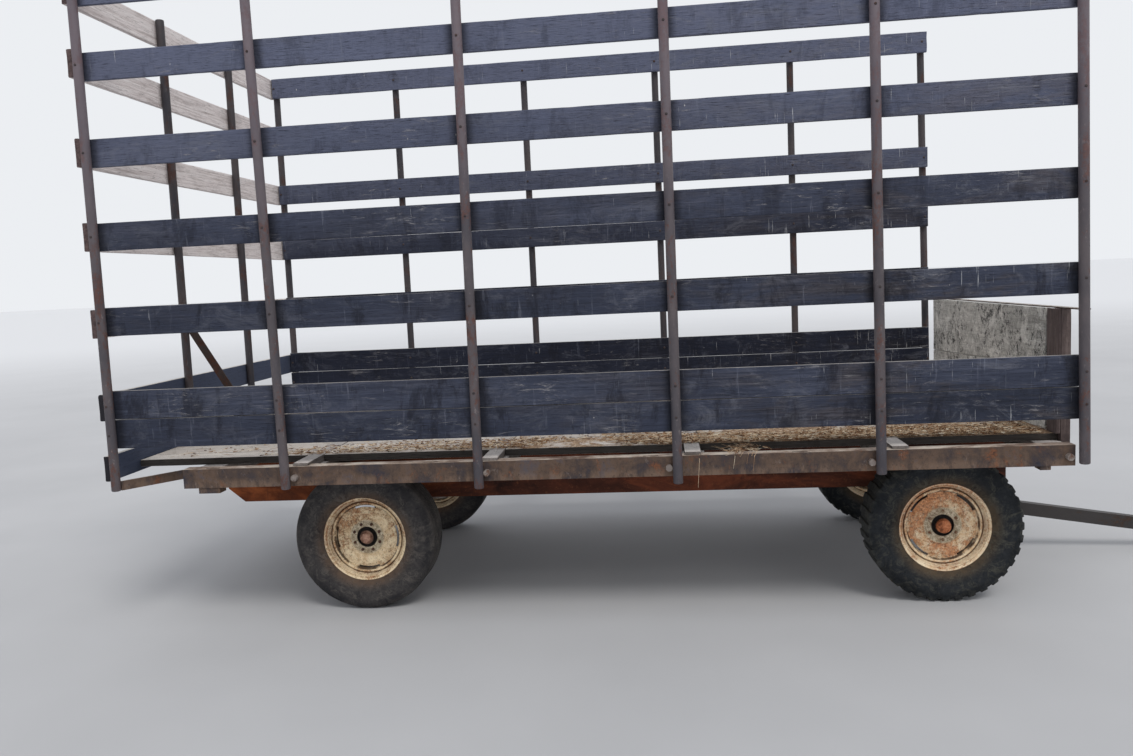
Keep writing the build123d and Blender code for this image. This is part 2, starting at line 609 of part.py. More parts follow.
def build_tyre(axle_x, side, sizes):
    """Tyre with bevelled shoulders and beads; a traction tyre also has lugs across its tread."""
    half, radius, bevel_wide, bevel_high, tread_flats, lugs = sizes
    middle = wheel_plane(axle_x, side)
    with BuildPart() as tyre:
        with BuildSketch(middle):
            flats(radius, tread_flats)
            flats(TYRE_BORE + SEAT, RIM_FLATS, mode=Mode.SUBTRACT)
        extrude(amount=half, both=True)
        for end in (0, -1):
            wall = tyre.faces().sort_by(Axis.Y)[end]
            chamfer(wall.outer_wire().edges(), bevel_high, bevel_wide, reference=wall)
            wall = tyre.faces().sort_by(Axis.Y)[end]
            chamfer(wall.inner_wires().edges(), BEAD_HIGH, BEAD_WIDE, reference=wall)
        if lugs:
            with BuildSketch(middle):
                with PolarLocations(radius, lugs, start_angle=-90):
                    Trapezoid(LUG_FOOT, WHEEL_RADIUS - radius, LUG_FLANK, rotation=-90,
                              align=(Align.CENTER, Align.MIN))
            extrude(amount=LUG_HALF, both=True)
    return tyre


def build_rim(axle_x, side, turn):
    """Drop-centre rim round a flat disc that has hand holes at its edge and a raised middle."""
    middle = wheel_plane(axle_x, side)
    with BuildPart() as rim:
        with BuildSketch(middle.offset(DISC_BACK)):
            flats(WELL_RADIUS, RIM_FLATS)
        extrude(amount=DISC_THICK)
        past = WELL_RADIUS + OVERRUN
        with BuildSketch(middle.offset(DISC_BACK)):
            with PolarLocations(0, HAND_HOLES, start_angle=turn):
                Polygon((0, 0), (past, -HAND_HOLE_WIDE / 2), (past, HAND_HOLE_WIDE / 2), align=None)
            flats(WELL_RADIUS - HAND_HOLE_DEEP, RIM_FLATS, mode=Mode.SUBTRACT)
        extrude(amount=DISC_THICK, mode=Mode.SUBTRACT)
        with BuildSketch(middle.offset(DISC_BACK)):
            flats(DISC_BOSS, DISC_FLATS)
        extrude(amount=2 * DISC_THICK)
        with BuildSketch(middle.offset(DISC_BACK)):
            flats(DISC_HOLE, DISC_FLATS)
        extrude(amount=2 * DISC_THICK, mode=Mode.SUBTRACT)
        with BuildSketch(middle):
            flats(TYRE_BORE, RIM_FLATS)
            flats(WELL_RADIUS, RIM_FLATS, mode=Mode.SUBTRACT)
        extrude(amount=WELL_HALF, both=True)
        for facing in (-1, 1):
            with BuildSketch(middle.offset(facing * WELL_HALF)):
                flats(TYRE_BORE, RIM_FLATS)
                flats(BARREL_RADIUS, RIM_FLATS, mode=Mode.SUBTRACT)
            extrude(amount=facing * (RIM_HALF - WELL_HALF))
    return rim


def build_hub(axle_x, side, cap):
    """Hub barrel with its flange behind the disc and a bevelled grease cap."""
    middle = wheel_plane(axle_x, side)
    cap_foot = SPINDLE_END - WHEEL_Y + SEAT
    with BuildPart() as hub:
        for radius, low, high in ((HUB_RADIUS, HUB_INNER, cap_foot),
                                  (HUB_FLANGE, DISC_BACK - HUB_FLANGE_THICK, DISC_BACK),
                                  (cap, cap_foot, CAP_OUTER)):
            with BuildSketch(middle.offset(low)):
                flats(radius, ROUND_FLATS)
            extrude(amount=high - low)
        cap_face = hub.faces().sort_by(Axis(middle.origin, middle.z_dir))[-1]
        chamfer(cap_face.edges(), CAP_BEVEL)
        with BuildSketch(middle.offset(HUB_INNER)):
            flats(SPINDLE_RADIUS + HUB_BORE_CLEAR, ROUND_FLATS)
        extrude(amount=cap_foot - HUB_INNER, mode=Mode.SUBTRACT)
    return hub


os.makedirs("parts", exist_ok=True)

for name, side in SIDES.items():
    save(build_side_rail(side), f"side_rail_{name}")
    save(build_main_sill(side), f"main_sill_{name}")
    save(build_side_boards(side, SLATS), f"side_slats_{name}")
    save(build_side_boards(side, BASE_BOARDS), f"base_boards_{name}")
    save(build_knuckle(side), f"knuckle_{name}")
    save(build_tie_rod(side), f"tie_rod_{name}")
    # Axle, its tyres' sizes, how far the rims' hand holes are turned, and the grease caps' radius
    for end, axle_x, sizes, turn, cap in (("front", FRONT_AXLE_X, FRONT_TYRE, 45, FRONT_CAP),
                                          ("rear", REAR_AXLE_X, REAR_TYRE, 0, REAR_CAP)):
        save(build_tyre(axle_x, side, sizes), f"tyre_{end}_{name}")
        save(build_rim(axle_x, side, turn), f"rim_{end}_{name}")
        save(build_hub(axle_x, side, cap), f"hub_{end}_{name}")

save(build_posts(SIDES["right"], POSTS_RIGHT), "posts_right")
save(build_posts(SIDES["left"], POSTS_LEFT), "posts_left")
save(build_rear_posts(), "rear_posts")
save(build_rear_boards(), "rear_boards")
save(build_rear_prop(), "rear_prop")
save(build_corner_braces(), "corner_braces")
save(build_cross_members(), "cross_members")
save(build_deck_planks(), "deck_planks")
save(build_bulkhead_boards(), "bulkhead_boards")
save(build_bulkhead_uprights(), "bulkhead_uprights")
save(build_bulkhead_cap(), "bulkhead_cap")
save(build_rail_pins(), "rail_pins")
save(build_rail_tabs(), "rail_tabs")
save(build_bolster(FRONT_AXLE_X), "front_bolster")
save(build_bolster(REAR_AXLE_X), "rear_bolster")
save(build_front_axle(), "front_axle")
save(build_rear_axle(), "rear_axle")
save(build_reach_pole(), "reach_pole")
save(build_rear_hounds(), "rear_hounds")
save(build_tongue_swivel(), "tongue_swivel")
save(build_tongue(), "tongue")
save(build_hitch(), "hitch")

print("origin lies", round(ORIGIN_X, 2), "mm ahead of the rear corner posts; length",
      round(TIP_X - REAR_FACE_X, 1), "tongue", round(TONGUE_REACH, 1))
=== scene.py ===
"""Looks of the hay wagon: weathered boards, rusty steel, worn tyres and the litter on its deck."""
import json
import math
import random
import bmesh
import bpy
from mathutils import Matrix, Vector, noise


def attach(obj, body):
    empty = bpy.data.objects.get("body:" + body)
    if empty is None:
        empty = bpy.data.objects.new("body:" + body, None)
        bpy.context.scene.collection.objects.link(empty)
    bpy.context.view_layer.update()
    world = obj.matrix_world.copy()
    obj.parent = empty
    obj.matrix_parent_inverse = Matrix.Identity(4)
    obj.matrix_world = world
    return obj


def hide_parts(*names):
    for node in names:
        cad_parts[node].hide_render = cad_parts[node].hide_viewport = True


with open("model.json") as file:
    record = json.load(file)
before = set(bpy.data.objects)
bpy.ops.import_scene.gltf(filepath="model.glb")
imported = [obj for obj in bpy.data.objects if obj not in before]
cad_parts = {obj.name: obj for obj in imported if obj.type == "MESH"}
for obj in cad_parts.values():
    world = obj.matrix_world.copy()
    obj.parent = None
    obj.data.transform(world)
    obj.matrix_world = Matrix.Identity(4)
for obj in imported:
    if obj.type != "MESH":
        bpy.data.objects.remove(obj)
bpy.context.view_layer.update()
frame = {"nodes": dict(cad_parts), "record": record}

NODES = frame["nodes"]
PAINT = {}                            # finished materials by name
SIDES = {"right": -1, "left": 1}
AHEAD, BACK, LEFT, UP = (1, 0, 0), (-1, 0, 0), (0, 1, 0), (0, 0, 1)

# Sizes are in metres. A place along the wagon is its distance from the rear corner posts; at() gives its x
ORIGIN_X = 3.202275
BED_HALF, BED_FRONT, DECK_TOP = 1.219, 4.855, 0.900
SEAT = 0.0003                         # gap between a round piece and the flat one it lies on
RIBS, END_MEMBERS = [1.000, 2.000, 3.028, 4.030], [0.430, 4.790]
BULKHEAD_HALF, BULKHEAD_TOP = 1.010, 1.524
BOARD_THICK, REAR_THICK, UPRIGHT_THICK = 0.025, 0.028, 0.045

POST_FOOT, POST_TOP, LEAN = 0.770, 3.415, 0.030
POST_RADIUS = 0.02415
POST_Y = BED_HALF + POST_RADIUS + SEAT
# Foot and top from the rear corner, height of the foot
POSTS = {"right": [(0, LEAN, 0.785), (0.930, 0.922, 0.772), (1.946, 1.973, 0.750), (2.950, 2.957, 0.750),
                   (3.931, 3.921, 0.770), (4.867, 4.830, 0.795)],
         "left": [(0, LEAN, 0.785), (0.954, 0.966, 0.770), (1.943, 1.947, 0.750), (2.920, 2.922, 0.750),
                  (3.897, 3.899, 0.770), (4.845, 4.815, 0.795)]}
REAR_POSTS_Y, REAR_POST_FOOT = (-0.410, 0.440), 0.803
# Boards: lower edge, height
SLATS = [(3.268, 0.142), (2.900, 0.138), (2.467, 0.142), (2.043, 0.142), (1.602, 0.148)]
BASE_BOARDS = [(1.164, 0.150), (1.008, 0.153)]
REAR_BOARDS = [(3.268, 0.142), (2.912, 0.140), (2.467, 0.144), (2.043, 0.145), (1.595, 0.148), (1.160, 0.140),
               (0.838, 0.134)]
BOARD_REAR, BOARD_FRONT, REAR_OVERHANG = -0.015, 4.850, 0.030

WHEEL_Y, AXLE_Z = 0.799, 0.400
# Axles: distance, finish of tyre and rim, turn of the hand holes, wheel nuts, radius of the grease cap
AXLES = {"rear": (1.209, "tyre_worn", "rim_cream", 0, 8, 0.031),
         "front": (4.332, "tyre_lugged", "rim_rusted", 45, 6, 0.037)}
# Wheel profiles: offset along the axle, radius
REAR_SIDE = [(0.0985, 0.2363), (0.103, 0.243), (0.109, 0.252), (0.1125, 0.260), (0.113, 0.265),
             (0.1155, 0.269), (0.1185, 0.290), (0.1195, 0.315), (0.1188, 0.342), (0.116, 0.363),
             (0.110, 0.380), (0.101, 0.3915), (0.089, 0.397), (0.072, 0.399)]
FRONT_SIDE = [(0.0985, 0.2363), (0.103, 0.243), (0.110, 0.253), (0.1145, 0.262), (0.115, 0.267),
              (0.1175, 0.271), (0.119, 0.292), (0.1187, 0.318), (0.1165, 0.342), (0.112, 0.361),
              (0.105, 0.377), (0.097, 0.3875)]
BORE = [(-0.04, 0.2363), (0.04, 0.2363)]
BARREL = [(0.0935, 0.2361), (-0.0935, 0.2361)]
LIP = [(0.0935, 0.2361), (0.0965, 0.2364), (0.0975, 0.2354), (0.0972, 0.2335), (0.095, 0.2305),
       (0.0925, 0.224), (0.089, 0.218), (0.080, 0.2135), (0.066, 0.2115), (0.060, 0.2095)]
LEDGE = [(0.0565, 0.2055), (0.058, 0.202), (0.061, 0.199), (0.0612, 0.193), (0.0585, 0.1865),
         (0.053, 0.1832), (0.040, 0.1822)]
HUB = [(-0.060, 0.0223), (-0.060, 0.038), (-0.056, 0.040), (0.025, 0.040), (0.027, 0.042), (0.027, 0.074),
       (0.029, 0.076), (0.037, 0.076), (0.039, 0.074), (0.039, 0.040), (0.060, 0.040), (0.0623, 0.038),
       (0.0623, 0.0223)]
# Disc from its hole outwards: radius, offset of its front and of its back
DISC = [(0.0545, 0.049, 0.040), (0.056, 0.0505, 0.040), (0.060, 0.051, 0.040), (0.096, 0.051, 0.040),
        (0.0995, 0.050, 0.0395), (0.103, 0.0455, 0.039), (0.111, 0.0445, 0.0388), (0.122, 0.046, 0.0395),
        (0.134, 0.050, 0.043), (0.145, 0.0515, 0.0445), (0.155, 0.0505, 0.044), (0.164, 0.0475, 0.0412),
        (0.170, 0.0455, 0.0395), (0.176, 0.045, 0.039), (0.181, 0.045, 0.039), (0.1825, 0.045, 0.039)]
HOLE_ROWS, HOLE_HALF, DISC_SEGMENTS = (12, 13), 20.0, 144
# Lug of the front tyre from its shoulder inwards: offset, radius of its root and of its tip
LUG = [(0.110, 0.362, 0.362), (0.108, 0.368, 0.375), (0.105, 0.374, 0.3885), (0.099, 0.382, 0.396),
       (0.089, 0.387, 0.399), (0.050, 0.3895, 0.400), (0.012, 0.390, 0.3996)]
LUGS = 36

# Camera solved from the photograph's posts, boards and wheels; the turns are in degrees
PHOTO_WIDTH, LENS_PIXELS, SENSOR = 1133, 912.317, 36.0
HEADING, PITCH, ROLL = 5.885, -6.061, 2.771
EYE = (-0.32299, -5.71798, 1.77464)

# Stretch of the noise that gives timber its grain along one axis
GRAIN_X, GRAIN_Y, GRAIN_Z = (1.0, 26, 26), (26, 1.0, 26), (26, 26, 1.0)


def at(distance):
    """The x of a distance from the rear corner posts."""
    return distance - ORIGIN_X


def lean(height):
    """How far forwards the rear corner posts are at a height."""
    return LEAN * (height - POST_FOOT) / (POST_TOP - POST_FOOT)


def wobble(*place):
    """Smooth random value about 0, within 1."""
    return noise.noise(Vector(place))


def around(segments):
    """Cosine and sine of even steps round a circle."""
    angles = [2 * math.pi * k / segments for k in range(segments)]
    return [(math.cos(angle), math.sin(angle)) for angle in angles]


def linked(name, data):
    """New object of some data, in the scene."""
    piece = bpy.data.objects.new(name, data)
    bpy.context.scene.collection.objects.link(piece)
    return piece


class Shape:
    """Points and faces being gathered for one piece."""

    def __init__(self):
        self.points, self.faces = [], []

    def tube(self, rings, caps=True):
        """Skin over rings of equal count, each ring closed; caps close both ends."""
        start, count = len(self.points), len(rings[0])
        for ring in rings:
            self.points.extend(ring)
        for row in range(len(rings) - 1):
            low = start + row * count
            for step in range(count):
                after = (step + 1) % count
                self.faces.append((low + step, low + after, low + count + after, low + count + step))
        if caps:
            self.faces.append(tuple(range(start + count - 1, start - 1, -1)))
            last = start + (len(rings) - 1) * count
            self.faces.append(tuple(range(last, last + count)))

    def turned(self, profile, segments, closed=False):
        """Profile of (offset along y, radius) turned round the y axis."""
        rings = [[(radius * cos, offset, radius * sin) for cos, sin in around(segments)]
                 for offset, radius in profile]
        if closed:
            rings.append(rings[0])
        self.tube(rings, caps=not closed)

    def made(self, name, slot, nodes=(), look=None, body="wagon", place=(0, 0, 0), sharp=35):
        """Finishes the object: it rides on its body, and the CAD nodes it stands for are hidden.

        Its material is the slot's own, or that of another look.
        """
        mesh = bpy.data.meshes.new(name)
        mesh.from_pydata(self.points, [], self.faces)
        skin = bmesh.new()
        skin.from_mesh(mesh)
        bmesh.ops.recalc_face_normals(skin, faces=skin.faces)
        skin.to_mesh(mesh)
        skin.free()
        mesh.polygons.foreach_set("use_smooth", [True] * len(mesh.polygons))
        mesh.set_sharp_from_angle(angle=math.radians(sharp))
        mesh.materials.append(PAINT[look or slot])
        piece = linked(name, mesh)
        piece.location = place
        bpy.context.view_layer.update()
        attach(piece, body)
        if nodes:
            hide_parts(*nodes)


def section(bottom, top, thick, run, seed, chip, at_end):
    """Outline of a board at one place: (level, depth) points, with chipped corners and full faces."""
    least, deepest, end_cut, step_in, full, middle = 0.0018, 0.016, 0.003, 0.005, 0.0006, 0.29
    corners = ((bottom, -thick, 1, 1), (bottom, 0, 1, -1), (top, 0, -1, -1), (top, -thick, -1, 1))
    ring = []
    for index, (level, depth, inward, outward) in enumerate(corners):
        rough = max(0.0, wobble(run * 9, seed, index * 3.1) - 0.28)
        cut = min(least + chip * deepest * rough + (end_cut if at_end else 0), thick * 0.4)
        turn = ((level + inward * (cut + step_in), depth),
                (level + inward * cut, depth),
                (level + inward * cut * middle, depth + outward * cut * middle),
                (level, depth + outward * cut))
        ring.extend(turn if index % 2 == 0 else reversed(turn))
        if index % 2 == 1:
            other = corners[(index + 1) % 4][0]
            for part in (0.3, 0.7):
                bulge = full * (1 + wobble(run * 6, part * 5, seed))
                ring.append((level + (other - level) * part, depth + outward * bulge))
    return ring


def board(shape, start, along, up, out, length, low, high, thick, seed, chip=1.0, pitch=0.05,
          far_low=None, far_high=None):
    """Worn board from start: its faces lie at 0 and -thick along out, its edges at low and high along up.

    far_low and far_high are the edges' heights at its far end, for a board whose edges aren't level.
    """
    waviness, raggedness = 0.0012, 0.004
    start, along, up, out = Vector(start), Vector(along), Vector(up), Vector(out)
    far_low = low if far_low is None else far_low
    far_high = high if far_high is None else far_high
    count = max(3, round(length / pitch))
    rings = []
    for row in range(count + 1):
        share = row / count
        run = length * share
        end = min(run, length - run)
        bottom = low + (far_low - low) * share
        top = high + (far_high - high) * share
        wave = waviness * wobble(run * 1.3, seed, 0.5)
        cup = waviness * abs(wobble(run * 0.9, seed, 7.5))
        placed = []
        for level, depth in section(bottom, top, thick, run, seed, chip, end < pitch / 2):
            ragged = raggedness * chip * wobble(level * 40, depth * 60, seed) if end < 1e-6 else 0.0
            short = abs(ragged) if row == 0 else -abs(ragged)
            placed.append(tuple(start + along * (run + short) + up * (level + wave) + out * (depth - cup)))
        rings.append(placed)
    shape.tube(rings)


def pipe(shape, foot, top, radius, seed):
    """Pipe with rounded ends and a faintly uneven wall."""
    segments, soft, pitch, uneven = 28, 0.006, 0.12, 0.0003
    foot, top = Vector(foot), Vector(top)
    run = top - foot
    length = run.length
    run.normalize()
    side = run.cross(Vector(LEFT)).normalized()
    other = run.cross(side)
    end = [(0, radius - soft), (soft * 0.3, radius - soft * 0.3), (soft, radius)]
    count = max(2, round(length / pitch))
    stops = end + [(length * k / count, radius) for k in range(1, count)]
    stops += [(length - distance, wide) for distance, wide in reversed(end)]
    rings = []
    for distance, wide in stops:
        ring = []
        for cos, sin in around(segments):
            push = wide - uneven * abs(wobble(distance * 7, cos * 2 + seed, sin * 2))
            ring.append(tuple(foot + run * distance + side * (cos * push) + other * (sin * push)))
        rings.append(ring)
    shape.tube(rings)


def knob(shape, centre, axis, radius, height, segments=10, flat=False):
    """Bolt head on a face: domed, or a flat-topped nut."""
    sunk = -0.001
    centre, axis = Vector(centre), Vector(axis).normalized()
    side = axis.orthogonal().normalized()
    other = axis.cross(side)
    stops = ((height, 1), (height, 0.82)) if flat else ((height * 0.45, 0.9), (height, 0.5))
    shape.tube([[tuple(centre + axis * level + (side * cos + other * sin) * radius * share)
                 for cos, sin in around(segments)] for level, share in ((sunk, 1),) + stops])


def shade(colour):
    """Linear colour of three 8-bit screen values; a linear colour or a socket stays as it is."""
    def linear(value):
        value /= 255
        return value / 12.92 if value <= 0.04045 else ((value + 0.055) / 1.055) ** 2.4
    plain = isinstance(colour, tuple) and len(colour) == 3
    return tuple(linear(value) for value in colour) + (1.0,) if plain else colour


class Surface:
    """A node material being put together; its methods pass sockets on, and lay() adds to its colour."""

    def __init__(self, name, specular=0.3):
        self.name, self.colour = name, None
        self.material = bpy.data.materials.new(name)
        self.material.use_nodes = True
        tree = self.material.node_tree
        self.nodes, self.links = tree.nodes, tree.links
        self.shader = self.nodes["Principled BSDF"]
        self.shader.inputs["Specular IOR Level"].default_value = specular
        self.place = self.add("ShaderNodeTexCoord").outputs["Object"]
        self.x, self.y, self.z = self.add("ShaderNodeSeparateXYZ", Vector=self.place).outputs
        geometry = self.add("ShaderNodeNewGeometry").outputs
        self.island = geometry["Random Per Island"]
        facing = self.add("ShaderNodeSeparateXYZ", Vector=geometry["Normal"]).outputs
        self.face_x, self.face_y, self.face_z = facing

    def add(self, kind, settings=None, **sockets):
        """New node with its settings and its inputs."""
        node = self.nodes.new(kind)
        for key, value in (settings or {}).items():
            setattr(node, key, value)
        for key, value in sockets.items():
            self.put(node.inputs[key.replace("_", " ")], value)
        return node

    def put(self, socket, value):
        """Link or plain value into a socket."""
        if isinstance(value, bpy.types.NodeSocket):
            self.links.new(value, socket)
        else:
            socket.default_value = value

    def stretched(self, scale):
        """The texture's place, scaled by axis; the place itself where no scale is given."""
        if scale is None:
            return self.place
        return self.add("ShaderNodeMapping", Vector=self.place, Scale=scale).outputs["Vector"]

    def shift(self, x, z):
        """Moves the texture's place by two values."""
        away = self.add("ShaderNodeCombineXYZ", X=x, Z=z).outputs["Vector"]
        moved = self.add("ShaderNodeVectorMath", {"operation": "ADD"})
        self.put(moved.inputs[0], self.place)
        self.put(moved.inputs[1], away)
        self.place = moved.outputs["Vector"]

    def noise(self, scale, detail=4.0, rough=0.55, twist=0.0, stretch=None):
        """Value of a noise that may be stretched by axis."""
        node = self.add("ShaderNodeTexNoise", Vector=self.stretched(stretch), Scale=scale, Detail=detail,
                        Roughness=rough, Distortion=twist)
        return node.outputs["Fac"]

    def cells(self, scale, stretch=None):
        """Distance to the nearest of scattered points."""
        node = self.add("ShaderNodeTexVoronoi", Vector=self.stretched(stretch), Scale=scale)
        return node.outputs["Distance"]

    def calc(self, operation, first, second=0.0, clamp=False):
        """Result of one arithmetic operation."""
        node = self.add("ShaderNodeMath", {"operation": operation, "use_clamp": clamp})
        for socket, value in zip(node.inputs, (first, second)):
            self.put(socket, value)
        return node.outputs["Value"]

    def times(self, first, *others):
        """Product of its values, from the left."""
        for value in others:
            first = self.calc("MULTIPLY", first, value)
        return first

    def plus(self, first, *others):
        """Sum of its values, from the left."""
        for value in others:
            first = self.calc("ADD", first, value)
        return first

    def blend(self, first, share, second, other):
        """Sum of two values, each times its share."""
        return self.plus(self.times(first, share), self.times(second, other))

    def step(self, value, low, high, out_low=0.0, out_high=1.0):
        """Smooth rise of value from low to high."""
        node = self.add("ShaderNodeMapRange", {"interpolation_type": "SMOOTHSTEP"})
        for socket, item in zip(node.inputs, (value, low, high, out_low, out_high)):
            self.put(socket, item)
        return node.outputs["Result"]

    def band(self, value, low, high, soft):
        """One between low and high, zero outside them."""
        above = self.step(value, low - soft, low + soft)
        return self.times(above, self.step(value, high - soft, high + soft, 1.0, 0.0))

    def ramp(self, value, *stops):
        """Colour ramp; a stop is (position, colour)."""
        node = self.add("ShaderNodeValToRGB", Fac=value)
        elements = node.color_ramp.elements
        while len(elements) < len(stops):
            elements.new(0.5)
        for element, (position, colour) in zip(elements, stops):
            element.position, element.color = position, shade(colour)
        return node.outputs["Color"]

    def mix(self, amount, first, second):
        """First colour at amount 0, second at 1."""
        node = self.add("ShaderNodeMix", {"data_type": "RGBA"})
        colours = [socket for socket in node.inputs if socket.type == "RGBA"]
        self.put(node.inputs["Factor"], amount)
        self.put(colours[0], shade(first))
        self.put(colours[1], shade(second))
        return [socket for socket in node.outputs if socket.type == "RGBA"][0]

    def lay(self, tint, mask, amount=None):
        """Lays a tint over the colour where the mask is, as strongly as amount says."""
        self.colour = self.mix(mask if amount is None else self.times(mask, amount), self.colour, tint)

    def finish(self, rough, height=None, depth=0.002):
        """Gives the material its colour, roughness and relief, and keeps it under its name."""
        self.put(self.shader.inputs["Base Color"], self.colour)
        self.put(self.shader.inputs["Roughness"], rough)
        if height is not None:
            bump = self.add("ShaderNodeBump", Height=height, Distance=depth, Strength=1.0)
            self.links.new(bump.outputs["Normal"], self.shader.inputs["Normal"])
        PAINT[self.name] = self.material


def camera():
    """Camera at its solved place."""
    data = bpy.data.cameras.new("camera")
    data.sensor_width = SENSOR
    data.lens = LENS_PIXELS * SENSOR / PHOTO_WIDTH
    turn = (Matrix.Rotation(math.radians(HEADING), 3, "Z") @ Matrix.Rotation(math.radians(PITCH), 3, "X")
            @ Matrix.Rotation(math.radians(ROLL), 3, "Y"))
    right, ahead, up = turn.col[0], turn.col[1], turn.col[2]
    pose = Matrix((right, up, -ahead)).transposed().to_4x4()
    pose.translation = EYE
    eye = linked("camera", data)
    eye.matrix_world = pose
    bpy.context.scene.camera = eye


def ground():
    """Pale floor that fades into the backdrop."""
    reach = 400.0
    mesh = bpy.data.meshes.new("floor")
    corners = [(-reach, -reach, 0), (reach, -reach, 0), (reach, reach, 0), (-reach, reach, 0)]
    mesh.from_pydata(corners, [], [(0, 1, 2, 3)])
    floor = linked("floor", mesh)
    s = Surface("floor_paint", 0.1)
    away = s.add("ShaderNodeVectorMath", {"operation": "LENGTH"}, Vector=s.place).outputs["Value"]
    s.colour = s.ramp(s.noise(0.6, 3), (0.3, (0.44, 0.445, 0.46, 1)), (0.7, (0.48, 0.485, 0.50, 1)))
    s.lay((0.66, 0.67, 0.69, 1), s.step(away, 7.0, 40.0))
    s.finish(0.9)
    mesh.materials.append(PAINT["floor_paint"])


def sky():
    """An even sky that lights the wagon, and a pale backdrop where the camera sees it."""
    world = bpy.data.worlds.new("world")
    bpy.context.scene.world = world
    world.use_nodes = True
    nodes, links = world.node_tree.nodes, world.node_tree.links
    light, seen = nodes["Background"], nodes.new("ShaderNodeBackground")
    for node, colour, strength in ((light, (0.94, 0.96, 1.0, 1), 0.88), (seen, (0.84, 0.86, 0.89, 1), 1.0)):
        node.inputs["Color"].default_value = colour
        node.inputs["Strength"].default_value = strength
    path = nodes.new("ShaderNodeLightPath")
    shown = path.outputs["Is Camera Ray"]
    for ray in ("Is Glossy Ray", "Is Transmission Ray"):
        either = nodes.new("ShaderNodeMath")
        either.operation = "MAXIMUM"
        links.new(shown, either.inputs[0])
        links.new(path.outputs[ray], either.inputs[1])
        shown = either.outputs["Value"]
    choice = nodes.new("ShaderNodeMixShader")
    links.new(shown, choice.inputs["Fac"])
    links.new(light.outputs["Background"], choice.inputs[1])
    links.new(seen.outputs["Background"], choice.inputs[2])
    links.new(choice.outputs["Shader"], nodes["World Output"].inputs["Surface"])


def sun():
    """One soft sun."""
    data = bpy.data.lights.new("sun", "SUN")
    data.energy, data.angle, data.color = 1.3, math.radians(20), (1.0, 0.97, 0.92)
    lamp = linked("sun", data)
    lamp.rotation_euler = (math.radians(32), math.radians(20), 0)


def rack():
    """Slats, base boards and rear boards, each with its own wear."""
    sets = (("slats", SLATS, "side_slats_", 0), ("base", BASE_BOARDS, "base_boards_", 20))
    for name, side in SIDES.items():
        seed = 3.7 if side < 0 else 41.3
        for label, table, node, further in sets:
            shape = Shape()
            for row, (low, height) in enumerate(table):
                rear = BOARD_REAR + lean(low + height)
                board(shape, (at(rear), side * BED_HALF, 0), AHEAD, UP, (0, side, 0), BOARD_FRONT - rear,
                      low, low + height, BOARD_THICK, seed + row * 5.3 + further)
            shape.made(f"{label}_{name}", "rack_board", [node + name])
    tilt = math.atan(LEAN / (POST_TOP - POST_FOOT))
    up = (math.sin(tilt), 0, math.cos(tilt))
    out = (-math.cos(tilt), 0, math.sin(tilt))
    foot = (Vector((at(0), 0, POST_FOOT)) + Vector(out) * (POST_RADIUS + SEAT + REAR_THICK)
            + Vector((0, -BED_HALF - REAR_OVERHANG, 0)))
    shape = Shape()
    for row, (low, height) in enumerate(REAR_BOARDS):
        level = (low - POST_FOOT) / math.cos(tilt)
        board(shape, foot, LEFT, up, out, 2 * (BED_HALF + REAR_OVERHANG), level, level + height, REAR_THICK,
              71 + row * 4.1, 1.2)
    shape.made("rear_wall", "rear_board", ["rear_boards"])


def posts():
    """Pipe posts with rounded ends, and a bolt through every board they carry."""
    outer_bolt, inner_bolt = (0.0070, 0.0030), (0.0085, 0.0035)
    outer_y, inner_y = POST_Y + POST_RADIUS, BED_HALF - BOARD_THICK - 0.0005
    for name, side in SIDES.items():
        shape, bolts = Shape(), Shape()
        for index, (foot, top, low) in enumerate(POSTS[name]):
            y = side * POST_Y
            pipe(shape, (at(foot), y, low), (at(top), y, POST_TOP), POST_RADIUS, index * 7 + side)
            for board_low, height in SLATS + BASE_BOARDS:
                level = board_low + height * (0.5 + 0.06 * wobble(index, board_low, side))
                run = foot + (top - foot) * (level - low) / (POST_TOP - low)
                knob(bolts, (at(run), side * outer_y, level), (0, side, 0), *outer_bolt)
                knob(bolts, (at(run), side * inner_y, level), (0, -side, 0), *inner_bolt)
        # painted shade: the far left posts take a darker copy of the post steel, as they stand backlit
        look = "post_steel" if side < 0 else "post_dark_and_shaded"
        shape.made(f"pipes_{name}", "post_steel", ["posts_" + name], look)
        bolts.made(f"rack_bolts_{name}", "post_steel", look="bolt_steel")
    shape = Shape()
    for index, y in enumerate(REAR_POSTS_Y):
        foot, top = (at(lean(REAR_POST_FOOT)), y, REAR_POST_FOOT), (at(LEAN), y, POST_TOP)
        pipe(shape, foot, top, POST_RADIUS, 50 + index)
    shape.made("pipes_rear", "post_steel", ["rear_posts"], "post_dark_and_shaded")


